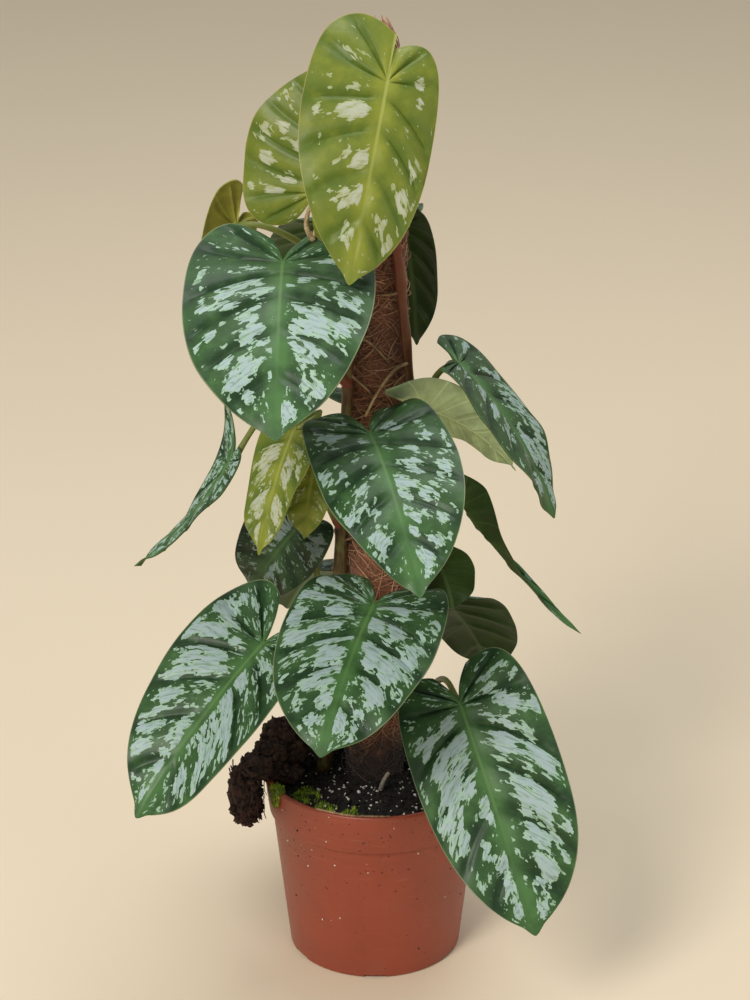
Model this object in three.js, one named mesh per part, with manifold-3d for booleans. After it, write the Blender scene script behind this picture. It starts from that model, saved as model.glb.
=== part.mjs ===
// Potted silver leaf philodendron: three climbing stems on a coir pole, in a clay-coloured nursery pot.
// Millimetres, +Z up, origin at the middle of the pot's underside. The front of the plant looks along -Y.

import * as THREE from "three";
import { mergeVertices } from "three/addons/utils/BufferGeometryUtils.js";
import Module from "manifold-3d";

const wasm = await Module();
wasm.setup();

// Driving dimensions
const GAP = 0.3;
const POT = { height: 105, rim: 60, base: 46.5, wall: 1.8, band: 24, bandStep: 1.8, floor: 3, lip: 3 };
const FOOT = { recess: 3, hub: 15, ring: 39, holes: 6, holeRadius: 5, notch: 12, notchDepth: 1.8 };
const SOIL = { atWall: 99, mound: 6, roughness: 1.6 };
const POLE = { radius: 15, relief: 0.9, foot: 84, top: 496 };
const STAKE = { radius: 5, point: 8, foot: 12, top: 512 };
const STEM = { foot: 3.8, top: 2.9, buried: 40, sprawl: 9, sides: 8, steps: 22 };
const PETIOLE = { foot: 2.3, tip: 1.4, sides: 6, steps: 8 };
const BLADE = { edge: 0.8, rib: 1.1, ribWidth: 5, rows: 12, columns: 3 };

// Materials
const material = (color, roughness) => new THREE.MeshStandardMaterial({ color, roughness, metalness: 0 });
const PAINT = {
  pot: material(0x9c4a36, 0.5),
  soil: material(0x15100d, 0.95),
  coir: material(0x6b3f2a, 0.95),
  stake: material(0xa98a62, 0.8),
  stem: material(0x6e5a2a, 0.5),
  mature: material(0x2f5136, 0.4),
  young: material(0x8a9a35, 0.4),
  bark: material(0x3a241c, 0.9),
};

// Solids: closed meshes to and from the boolean library
function solid(geometry) {
  const bare = geometry.clone();
  bare.deleteAttribute("normal");
  bare.deleteAttribute("uv");
  const merged = mergeVertices(bare, 1e-4);
  const mesh = new wasm.Mesh({
    numProp: 3,
    vertProperties: new Float32Array(merged.attributes.position.array),
    triVerts: new Uint32Array(merged.index.array),
  });
  return new wasm.Manifold(mesh);
}

function geometryOf(made) {
  const { vertProperties, triVerts, numProp, numVert } = made.getMesh();
  const position = new Float32Array(numVert * 3);
  for (let i = 0; i < numVert; i++) {
    position.set(vertProperties.subarray(i * numProp, i * numProp + 3), i * 3);
  }
  const geometry = new THREE.BufferGeometry();
  geometry.setAttribute("position", new THREE.BufferAttribute(position, 3));
  geometry.setIndex(new THREE.BufferAttribute(triVerts, 1));
  geometry.computeVertexNormals();
  return geometry;
}

const join = (geometries) => geometries.map(solid).reduce((whole, next) => whole.add(next));
const cut = (whole, tools) => tools.reduce((left, tool) => left.subtract(solid(tool)), whole);
const larger = (a, b) => (b.volume() > a.volume() ? b : a);
const largest = (made) => made.decompose().reduce(larger);

// A solid of revolution about Z from [radius, height] corners, which close on themselves or end on the axis
function turned(profile, sides) {
  const corners = profile.map(([radius, height]) => new THREE.Vector2(radius, height));
  return facingOut(new THREE.LatheGeometry(corners, sides).rotateX(Math.PI / 2));
}

// A cylinder bent along a curve, with its radius a function of the share of the way along
function bentCylinder(curve, radiusAt, sides, steps) {
  const geometry = new THREE.CylinderGeometry(1, 1, 1, sides, steps);
  const { normals, binormals } = curve.computeFrenetFrames(steps);
  const place = geometry.attributes.position;
  const point = new THREE.Vector3();
  for (let i = 0; i < place.count; i++) {
    const step = Math.round((0.5 - place.getY(i)) * steps);
    const radius = radiusAt(step / steps);
    curve.getPointAt(step / steps, point);
    point.addScaledVector(normals[step], place.getX(i) * radius);
    point.addScaledVector(binormals[step], place.getZ(i) * radius);
    place.setXYZ(i, point.x, point.y, point.z);
  }
  return facingOut(geometry);
}

function facingOut(geometry) {
  const made = solid(geometry);
  if (made.volume() > 0) return geometry;
  const index = geometry.index;
  for (let i = 0; i < index.count; i += 3) {
    const kept = index.getX(i);
    index.setX(i, index.getX(i + 1));
    index.setX(i + 1, kept);
  }
  return geometry;
}

// A repeatable uneven surface: three waves that don't share a period
function uneven(a, b) {
  return (Math.sin(a * 3.1 + b * 1.7) + Math.sin(a * 5.3 - b * 4.1 + 1) + Math.sin(a * 1.9 + b * 7.3)) / 3;
}

// Pot: tapered wall, thicker band under the rim, and a foot ring and hub with drainage between them
const bandFoot = POT.height - POT.band;
const outerRadius = (z) => THREE.MathUtils.mapLinear(z, 0, POT.height, POT.base, POT.rim - POT.bandStep);

function potGeometry() {
  const { height, rim, wall, bandStep, floor, lip } = POT;
  const { recess, hub, ring, holes, holeRadius, notch, notchDepth } = FOOT;
  const inside = (z) => outerRadius(z) - wall;
  const bottom = recess + floor;
  const profile = [
    [0, 0], [hub, 0], [hub + 1.5, recess], [ring, recess], [ring + 1, 0], [POT.base - 1, 0], [POT.base, 1],
    [outerRadius(bandFoot), bandFoot], [outerRadius(bandFoot) + bandStep, bandFoot + 1.2],
    [rim, height - 1], [rim - 0.8, height], [rim - lip + 0.6, height], [rim - lip, height - 1.2],
    [inside(bandFoot), bandFoot], [inside(bottom + 1), bottom + 1], [inside(bottom) - 1, bottom], [0, bottom],
  ];
  const tools = [];
  const between = (hub + ring) / 2 + 2;
  const across = POT.base - ring + 6;
  for (let i = 0; i < holes; i++) {
    const turn = ((i + 0.5) / holes) * 2 * Math.PI;
    const hole = new THREE.CylinderGeometry(holeRadius, holeRadius, 4 * floor, 12).rotateX(Math.PI / 2);
    tools.push(hole.translate(between, 0, recess).rotateZ(turn));
    const slot = new THREE.BoxGeometry(across, notch, 2 * notchDepth);
    tools.push(slot.translate((POT.base + ring) / 2, 0, 0).rotateZ(turn));
  }
  return geometryOf(cut(solid(turned(profile, 48)), tools));
}

// Pole: a round stake inside a sleeve of bonded coconut fibre, whose outside is raised in slanting strands
const sleeveRelief = (angle, z) => POLE.relief * uneven(3 * angle + z * 0.11, z * 0.035 - 2 * angle);

function stakeGeometry() {
  const { radius, point, foot, top } = STAKE;
  const length = top - foot;
  const shaft = new THREE.CylinderGeometry(radius, radius, length - point, 12, 1).translate(0, point / 2, 0);
  const tip = new THREE.CylinderGeometry(radius, 1.5, point, 12, 1).translate(0, (point - length) / 2, 0);
  return geometryOf(join([shaft, tip])).rotateX(Math.PI / 2).translate(0, 0, foot + length / 2);
}

function sleeveGeometry() {
  const rows = 24;
  const chamfer = 2;
  const bore = STAKE.radius + GAP;
  const { radius, foot, top } = POLE;
  const outside = [];
  for (let i = 0; i <= rows; i++) {
    outside.push([radius, THREE.MathUtils.lerp(foot, top - chamfer, i / rows)]);
  }
  const profile = [[bore, foot], ...outside, [radius - chamfer, top], [bore, top], [bore, foot]];
  const geometry = turned(profile, 16);
  const place = geometry.attributes.position;
  for (let i = 0; i < place.count; i++) {
    const [x, y, z] = [place.getX(i), place.getY(i), place.getZ(i)];
    const reach = Math.hypot(x, y);
    if (reach < radius - 0.1) continue;
    const grown = 1 + sleeveRelief(Math.atan2(y, x), z) / reach;
    place.setXY(i, x * grown, y * grown);
  }
  return geometry;
}

// Stems: each climbs the pole at a slowly turning angle and leans away from it towards the soil
class Climb extends THREE.Curve {
  constructor({ angle, turn, top }) {
    super();
    this.stem = { angle, turn, top };
  }

  at(z, target = new THREE.Vector3()) {
    const { angle, turn } = this.stem;
    const around = THREE.MathUtils.degToRad(angle + turn * (z - 300));
    const sprawl = STEM.sprawl * Math.exp(-Math.max(0, z - SOIL.atWall) / 30);
    const reach = POLE.radius + POLE.relief + STEM.foot + 2 * GAP + sprawl;
    return target.set(reach * Math.cos(around), reach * Math.sin(around), z);
  }

  getPoint(share, target) {
    const foot = SOIL.atWall - STEM.buried;
    return this.at(THREE.MathUtils.lerp(foot, this.stem.top, share), target);
  }
}

const STEMS = {
  stem_right: { angle: -21, turn: -0.36, top: 474 },
  stem_left: { angle: -139, turn: 0.2, top: 446 },
  stem_back: { angle: 118, turn: 0.05, top: 402 },
};

// Leaves: from is the height at which the petiole leaves its stem, junction is where it meets the blade, tip
// the end of the midrib, and faces the way that the upper side looks. half, lobe, fold and full each give the
// half on the viewer's left of a hanging leaf, then the other: half is its width, lobe its reach back past the
// junction, fold how many degrees it is raised, and full how far its widest place lies towards the tip. bend
// is how many degrees the midrib droops to the tip, lobeBend how many the lobes do, and twist the turn of the
// tip. open is the share of a half by which the lobes stand apart, and sinus the share of a lobe's reach at
// its inner corner. curl is how far the margins turn down, wave the height of their waves, and droop how far
// the petiole arches over before the blade, as a share of its reach.
const PLAIN = {
  lobe: [30, 30], fold: [8, 8], full: [0.3, 0.3], bend: 30, lobeBend: 20, twist: 0, open: 0.25, sinus: 0.8,
  curl: 3, wave: 1.5, droop: 0,
};
const LEAVES = {
  leaf_top_front: {
    stem: "stem_right", from: 440, tone: "young", junction: [6, -38, 492], tip: [-12, -80, 406],
    faces: [0.05, -0.9, 0.4], half: [39, 28], lobe: [40, 29], fold: [4, -14], full: [-0.1, 1], bend: 22,
    lobeBend: 12, open: 0.06, sinus: 0.5,
  },
  leaf_top_left: {
    stem: "stem_left", from: 420, tone: "young", junction: [-31, -34, 436], tip: [-23, -18, 496],
    faces: [-0.4, -0.85, 0.35], half: [18, 38], lobe: [26, 20], fold: [-30, 10], bend: 10, lobeBend: 8,
  },
  leaf_side_left: {
    stem: "stem_back", from: 360, tone: "young", junction: [-71, 18, 404], tip: [-77, 24, 340],
    faces: [-0.5, 0.8, 0.2], half: [18, 22], lobe: [8, 38],
  },
  leaf_upper_left: {
    stem: "stem_left", from: 345, tone: "mature", junction: [-45, -48, 405], tip: [-46, -140, 350],
    faces: [-0.05, -0.45, 0.9], half: [47, 46], lobe: [40, 38], fold: [4, 6], full: [0.7, 0.4], bend: 34,
    lobeBend: 16, open: 0.12, sinus: 0.4,
  },
  leaf_upper_right: {
    stem: "stem_back", from: 370, tone: "mature", junction: [14, 26, 403], tip: [22, 40, 333],
    faces: [0.35, 0.93, 0.1], half: [17, 20], lobe: [24, 24], curl: 6,
  },
  leaf_mid_right: {
    stem: "stem_right", from: 310, tone: "mature", junction: [43, -14, 341], tip: [90, -48, 272],
    faces: [0.78, -0.15, 0.58], half: [36, 36], lobe: [2, 22],
  },
  leaf_mid_right_back: {
    stem: "stem_right", from: 290, tone: "mature", junction: [24, -25, 322], tip: [72, -8, 281],
    faces: [0.35, 0.3, 0.88], half: [20, 15], lobe: [27, 10], fold: [50, -25], full: [0, 1],
  },
  leaf_centre: {
    stem: "stem_right", from: 255, tone: "mature", junction: [-2, -70, 324], tip: [21, -153, 276],
    faces: [0.05, -0.45, 0.89], half: [35, 38], lobe: [32, 34], bend: 36,
  },
  leaf_young_left: {
    stem: "stem_left", from: 285, tone: "young", junction: [-41, -33, 312], tip: [-58, -66, 259],
    faces: [-0.6, -0.7, 0.3], half: [20, 16], lobe: [16, 16], bend: 20,
  },
  leaf_young_back: {
    stem: "stem_left", from: 250, tone: "young", junction: [-31, -29, 290], tip: [-36, -40, 256],
    faces: [-0.2, -0.9, 0.3], half: [14, 12], lobe: [9, 9],
  },
  leaf_left_edge: {
    stem: "stem_left", from: 330, tone: "mature", junction: [-76, -8, 284], tip: [-118, -80, 259],
    faces: [-0.7, -0.16, 0.63], half: [15, 12], lobe: [42, 8], fold: [0, 0], bend: -22, lobeBend: -50,
    curl: 1, droop: 0.45,
  },
  leaf_right_edge: {
    stem: "stem_right", from: 215, tone: "mature", junction: [44, -13, 266], tip: [104, -50, 208],
    faces: [0.72, 0.16, 0.66], half: [14, 5], lobe: [12, 8], fold: [58, 0], full: [-0.2, 0.3], bend: -16,
    twist: 82, curl: 1,
  },
  leaf_low_left_back: {
    stem: "stem_left", from: 185, tone: "mature", junction: [-42, -8, 246], tip: [-66, 4, 206],
    faces: [-0.25, -0.85, 0.45], half: [26, 22], lobe: [20, 18],
  },
  leaf_low_left: {
    stem: "stem_left", from: 135, tone: "mature", junction: [-58, -50, 201], tip: [-119, -110, 135],
    faces: [-0.25, -0.75, 0.55], half: [38, 34], lobe: [36, 24], fold: [4, 26], full: [0.3, 1.5],
  },
  leaf_low_centre: {
    stem: "stem_right", from: 165, tone: "mature", junction: [-1, -66, 230], tip: [-26, -148, 189],
    faces: [0, -0.4, 0.9], half: [39, 40], lobe: [34, 34], full: [1, 0.7], bend: 36,
  },
  leaf_low_right: {
    stem: "stem_right", from: 118, tone: "mature", junction: [44, -58, 170], tip: [81, -118, 72],
    faces: [0.05, -0.82, 0.55], half: [36, 41], lobe: [22, 28], full: [0.7, 1.2], bend: 20,
  },
  leaf_low_right_back: {
    stem: "stem_back", from: 125, tone: "mature", junction: [35, 42, 186], tip: [65, 76, 125],
    faces: [0.4, 0.8, 0.4], half: [34, 34], lobe: [10, 24],
  },
  leaf_right_fold: {
    stem: "stem_back", from: 170, tone: "mature", junction: [34, 20, 216], tip: [42, 18, 190],
    faces: [0.2, 0.75, 0.6], half: [20, 20], lobe: [16, 16],
  },
  leaf_back_upper: {
    stem: "stem_back", from: 335, tone: "mature", junction: [-12, 56, 395], tip: [-32, 128, 330],
    faces: [-0.2, 0.55, 0.8], half: [40, 40], lobe: [30, 30],
  },
  leaf_back_middle: {
    stem: "stem_back", from: 240, tone: "mature", junction: [10, 68, 290], tip: [25, 150, 235],
    faces: [0.2, 0.6, 0.8], half: [42, 42], lobe: [32, 32],
  },
  leaf_back_low: {
    stem: "stem_back", from: 150, tone: "mature", junction: [-15, 62, 200], tip: [-50, 130, 140],
    faces: [-0.3, 0.6, 0.75], half: [40, 40], lobe: [30, 30],
  },
};

const cubic = (a, b, c, d, t) => {
  const u = 1 - t;
  return u * u * u * a + 3 * u * u * t * b + 3 * u * t * t * c + t * t * t * d;
};

// A leaf's own axes at the junction and the length of its midrib, which bends from the junction to the tip
function axesOf(leaf) {
  const bend = THREE.MathUtils.degToRad(leaf.bend);
  const junction = new THREE.Vector3(...leaf.junction);
  const chord = new THREE.Vector3(...leaf.tip).sub(junction);
  const length = (chord.length() * bend) / 2 / Math.sin(bend / 2);
  const ahead = chord.normalize();
  const up = new THREE.Vector3(...leaf.faces);
  up.addScaledVector(ahead, -up.dot(ahead)).normalize();
  const along = ahead.clone().multiplyScalar(Math.cos(bend / 2)).addScaledVector(up, Math.sin(bend / 2));
  const out = up.clone().multiplyScalar(Math.cos(bend / 2)).addScaledVector(ahead, -Math.sin(bend / 2));
  return { junction, along, out, across: along.clone().cross(out), length };
}

// The flat blade: row runs from the back of the lobe (0) to the tip (1) in the order of the side veins, and
// column along a side vein from the midrib (0) to the margin (1)
const BASAL = 0.3;
const WIDEST = 0.42;
const WAVES = 2.5;

function flatBlade(leaf, length, side, row, column) {
  const [half, lobe, full] = [leaf.half, leaf.lobe, leaf.full].map((pair) => pair[side > 0 ? 0 : 1]);
  const back = row / WIDEST;
  const fore = (row - WIDEST) / (1 - WIDEST);
  const widest = (0.16 + 0.14 * full) * length;
  const margin = row < WIDEST
    ? [
      half * cubic(leaf.open, 0.74, 1, 1, back),
      cubic(-leaf.sinus * lobe, -1.2 * lobe, -0.6 * lobe, widest, back),
    ]
    : [
      half * cubic(1, 1, 0.62 + 0.16 * full, 0.012, fore),
      length * cubic(0.16 + 0.14 * full, 0.5 + 0.12 * full, 0.82 + 0.06 * full, 1, fore),
    ];
  const basal = Math.min(1, row / BASAL);
  const start = row < BASAL ? 1.2 * (basal - 1) : 0.985 * length * ((row - BASAL) / (1 - BASAL)) ** 1.5;
  const bowX = margin[0] * (0.1 + 0.45 * basal);
  const bowY = start + (0.45 - 0.15 * basal) * (margin[1] - start);
  const u = 1 - column;
  return [
    2 * u * column * bowX + column * column * margin[0],
    u * u * start + 2 * u * column * bowY + column * column * margin[1],
  ];
}

// The flat blade folded, waved, twisted and bent, in its own frame: X across towards the viewer's left of a
// hanging leaf, Y along the midrib and Z out of the upper side. depth is below the upper side.
function bladePoint(leaf, length, side, row, column, depth) {
  const [x, y] = flatBlade(leaf, length, side, row, column);
  const half = leaf.half[side > 0 ? 0 : 1];
  const lobe = leaf.lobe[side > 0 ? 0 : 1];
  const fold = THREE.MathUtils.degToRad(leaf.fold[side > 0 ? 0 : 1]);
  const wave = leaf.wave * column ** 2 * Math.sin(2 * Math.PI * WAVES * row + 2 * side);
  let high = Math.tan(fold) * (Math.hypot(x, 6) - 6) - leaf.curl * (x / half) ** 2 + wave - depth;
  let wide = side * x * Math.cos(fold);
  const turn = THREE.MathUtils.degToRad((leaf.twist * Math.max(0, y)) / length);
  const [c, s] = [Math.cos(turn), Math.sin(turn)];
  [wide, high] = [wide * c + high * s, high * c - wide * s];
  const curve = THREE.MathUtils.degToRad(y > 0 ? leaf.bend : leaf.lobeBend) / (y > 0 ? length : lobe);
  const reached = curve * Math.abs(y);
  const ahead = (Math.sin(reached) / curve) * Math.sign(y) + Math.sign(y) * high * Math.sin(reached);
  const raised = high * Math.cos(reached) - (1 - Math.cos(reached)) / curve;
  return new THREE.Vector3(wide, ahead, raised);
}

// A closed blade: the same sheet of rows and columns for the upper and under sides, joined round the rim.
// It is thickest under the midrib.
function bladeGeometry(leaf) {
  const { length } = axesOf(leaf);
  const { rows, columns, edge, rib, ribWidth } = BLADE;
  const sheet = new THREE.PlaneGeometry(2, 1, 2 * columns, rows);
  const grid = sheet.attributes.position;
  const points = [];
  for (const under of [false, true]) {
    for (let i = 0; i < grid.count; i++) {
      const side = grid.getX(i) < 0 ? -1 : 1;
      const column = Math.abs(grid.getX(i));
      const row = grid.getY(i) + 0.5;
      const [x] = flatBlade(leaf, length, side, row, column);
      const thickness = edge + rib * (1 - row) * Math.exp(-((x / ribWidth) ** 2));
      points.push(bladePoint(leaf, length, side, row, column, under ? thickness : 0));
    }
  }
  const upper = Array.from(sheet.index.array);
  const faces = [...upper];
  for (let i = 0; i < upper.length; i += 3) {
    faces.push(upper[i] + grid.count, upper[i + 2] + grid.count, upper[i + 1] + grid.count);
  }
  const wide = 2 * columns + 1;
  const rim = [];
  for (let i = 0; i < wide; i++) rim.push(i);
  for (let i = 1; i <= rows; i++) rim.push(i * wide + wide - 1);
  for (let i = wide - 2; i >= 0; i--) rim.push(rows * wide + i);
  for (let i = rows - 1; i >= 1; i--) rim.push(i * wide);
  rim.forEach((a, i) => {
    const b = rim[(i + 1) % rim.length];
    faces.push(a, b, a + grid.count, b, b + grid.count, a + grid.count);
  });
  const geometry = new THREE.BufferGeometry().setFromPoints(points);
  geometry.setIndex(faces);
  return facingOut(geometry);
}

// A petiole leaves its stem outwards and upwards, and comes to the blade from behind and below
function petioleCurve(leaf, climb) {
  const { junction, along, out } = axesOf(leaf);
  const foot = climb.at(leaf.from);
  const below = BLADE.edge + BLADE.rib + GAP + 1.2;
  const end = junction.clone().addScaledVector(out, -below).addScaledVector(along, -0.5);
  const reach = foot.distanceTo(end);
  const leave = new THREE.Vector3(foot.x, foot.y, 0).normalize().multiplyScalar(0.3 * reach);
  leave.z = 0.34 * reach;
  const arrive = along.clone().multiplyScalar(0.78).addScaledVector(out, 0.62).multiplyScalar(-0.34 * reach);
  arrive.z += leaf.droop * reach;
  return new THREE.CubicBezierCurve3(foot, leave.add(foot), arrive.add(end), end);
}

const stemRadius = (share) => (share > 0.99 ? 1 : THREE.MathUtils.lerp(STEM.foot, STEM.top, share));
const petioleRadius = (share) => THREE.MathUtils.lerp(PETIOLE.foot, PETIOLE.tip, share);

function stemGeometry(name) {
  const climb = new Climb(STEMS[name]);
  const carried = Object.values(LEAVES).filter((leaf) => leaf.stem === name);
  const petioles = carried.map((leaf) => petioleCurve({ ...PLAIN, ...leaf }, climb));
  const pieces = petioles.map((curve) => bentCylinder(curve, petioleRadius, PETIOLE.sides, PETIOLE.steps));
  return geometryOf(join([bentCylinder(climb, stemRadius, STEM.sides, STEM.steps), ...pieces]));
}

// Soil: fills the pot with a gap to its wall, with an uneven mound and plain holes for the pole and stems
function soilSolid(lift = 0) {
  const rings = 6;
  const floor = FOOT.recess + POT.floor + GAP;
  const inside = (z) => outerRadius(z) - POT.wall - GAP;
  const profile = [[0, floor], [inside(floor + 2) - 1, floor], [inside(bandFoot) - 0.4, bandFoot]];
  for (let i = 0; i < rings; i++) {
    const share = i / rings;
    const radius = (inside(bandFoot) + 0.6) * (1 - share);
    profile.push([radius, SOIL.atWall + SOIL.mound * share]);
  }
  profile.push([0, SOIL.atWall + SOIL.mound]);
  const geometry = turned(profile, 26);
  const place = geometry.attributes.position;
  for (let i = 0; i < place.count; i++) {
    const [x, y, z] = [place.getX(i), place.getY(i), place.getZ(i)];
    if (z < SOIL.atWall - 0.1) continue;
    place.setZ(i, z + lift + SOIL.roughness * uneven(x / 9, y / 9));
  }
  return solid(facingOut(geometry));
}

function soilGeometry() {
  const upright = (radius, foot, sides) => {
    const deep = 200;
    const hole = new THREE.CylinderGeometry(radius + GAP, radius + GAP, deep, sides);
    return hole.rotateX(Math.PI / 2).translate(0, 0, foot - GAP + deep / 2);
  };
  const sleeveHole = upright(POLE.radius + POLE.relief, POLE.foot, 18);
  const stakeHole = upright(STAKE.radius, STAKE.foot, 12);
  const wider = (share) => stemRadius(share) + 1.5 * GAP;
  const stemHole = (stem) => bentCylinder(new Climb(stem), wider, STEM.sides, STEM.steps);
  const stemHoles = Object.values(STEMS).map(stemHole);
  return geometryOf(largest(cut(soilSolid(), [sleeveHole, stakeHole, ...stemHoles])));
}

// Bark clump: rough lumps that lie on the soil, go over the rim and hang down outside it
const CLUMP = [
  { at: [-70, -12, 95], size: [9, 12, 17] },
  { at: [-60, -9, 108], size: [13, 9, 5] },
  { at: [-48, -6, 104], size: [9, 10, 5] },
];

function clumpGeometry() {
  const lumps = CLUMP.map(({ at, size }) => {
    const geometry = new THREE.SphereGeometry(1, 12, 8);
    const place = geometry.attributes.position;
    for (let i = 0; i < place.count; i++) {
      const [x, y, z] = [place.getX(i), place.getY(i), place.getZ(i)];
      const grown = 1 + 0.12 * uneven(2 * x + at[0], 2 * y - 1.5 * z);
      place.setXYZ(i, x * grown, y * grown, z * grown);
    }
    return geometry.scale(...size).translate(...at);
  });
  const inner = POT.rim - POT.lip - 1;
  const outer = POT.rim + GAP;
  const over = POT.height + GAP;
  const foot = POT.height / 2;
  const rimRing = turned([[inner, foot], [outer, foot], [outer, over], [inner, over], [inner, foot]], 48);
  return geometryOf(largest(cut(join(lumps), [rimRing]).subtract(soilSolid(GAP))));
}

// Assembly
const plant = new THREE.Group();

function place(name, geometry, paint) {
  const mesh = new THREE.Mesh(geometry, PAINT[paint]);
  mesh.name = name;
  plant.add(mesh);
  return mesh;
}

function placeLeaf(name, leaf) {
  const { junction, along, out, across } = axesOf(leaf);
  const mesh = place(name, bladeGeometry(leaf), leaf.tone);
  mesh.position.copy(junction);
  mesh.quaternion.setFromRotationMatrix(new THREE.Matrix4().makeBasis(across, along, out));
}

place("pot", potGeometry(), "pot");
place("soil", soilGeometry(), "soil");
place("pole_stake", stakeGeometry(), "stake");
place("pole_coir", sleeveGeometry(), "coir");
for (const name of Object.keys(STEMS)) place(name, stemGeometry(name), "stem");
for (const [name, leaf] of Object.entries(LEAVES)) placeLeaf(name, { ...PLAIN, ...leaf });
place("bark_clump", clumpGeometry(), "bark");

export default plant;
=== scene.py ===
"""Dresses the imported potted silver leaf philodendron: blades, stems, pole, soil, pot and the small growth on them."""

import math
import random

import bmesh
import bpy
from bpy.props import FloatProperty, FloatVectorProperty, IntProperty, PointerProperty
from mathutils import Matrix, Vector, noise


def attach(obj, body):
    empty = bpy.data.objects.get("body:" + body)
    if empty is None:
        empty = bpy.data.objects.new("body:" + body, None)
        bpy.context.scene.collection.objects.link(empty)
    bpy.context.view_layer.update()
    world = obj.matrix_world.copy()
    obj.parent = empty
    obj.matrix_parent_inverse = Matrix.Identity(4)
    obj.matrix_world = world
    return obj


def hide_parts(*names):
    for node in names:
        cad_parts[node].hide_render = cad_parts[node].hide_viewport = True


bl_info = {
    "name": "Potted Silver Leaf Philodendron",
    "version": (1, 0, 0),
    "blender": (4, 5, 0),
    "location": "3D View > Sidebar > Plant",
    "description": "Builds the leaves, stems, coir pole, soil and pot of a climbing philodendron on its packed solids",
    "category": "Add Mesh",
}

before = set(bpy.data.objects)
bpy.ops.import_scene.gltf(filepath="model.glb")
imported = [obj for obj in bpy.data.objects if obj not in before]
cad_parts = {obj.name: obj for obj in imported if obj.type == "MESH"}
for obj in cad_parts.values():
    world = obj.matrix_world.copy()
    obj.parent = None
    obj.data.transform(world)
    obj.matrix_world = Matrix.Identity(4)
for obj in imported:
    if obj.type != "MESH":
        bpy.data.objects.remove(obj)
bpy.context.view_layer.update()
MM = 0.001

# Sizes shared with the solids, in millimetres
POT = {"height": 105, "rim": 60, "base": 46.5, "wall": 1.8, "band": 24, "step": 1.8, "floor": 3, "lip": 3}
FOOT = {"recess": 3, "hub": 15, "ring": 39, "holes": 6, "hole_radius": 5, "notch": 12, "notch_depth": 1.8}
SOIL = {"at_wall": 99, "mound": 6, "roughness": 1.6}
POLE = {"radius": 15, "relief": 0.9, "foot": 84, "top": 496}
STAKE = {"radius": 5, "foot": 12, "top": 512}
STEM = {"foot": 3.8, "top": 2.9, "buried": 40, "sprawl": 9}
PETIOLE = {"foot": 2.3, "tip": 1.4}
STEMS = {
    "stem_right": {"angle": -21, "turn": -0.36, "top": 474},
    "stem_left": {"angle": -139, "turn": 0.2, "top": 446},
    "stem_back": {"angle": 118, "turn": 0.05, "top": 402},
}

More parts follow.
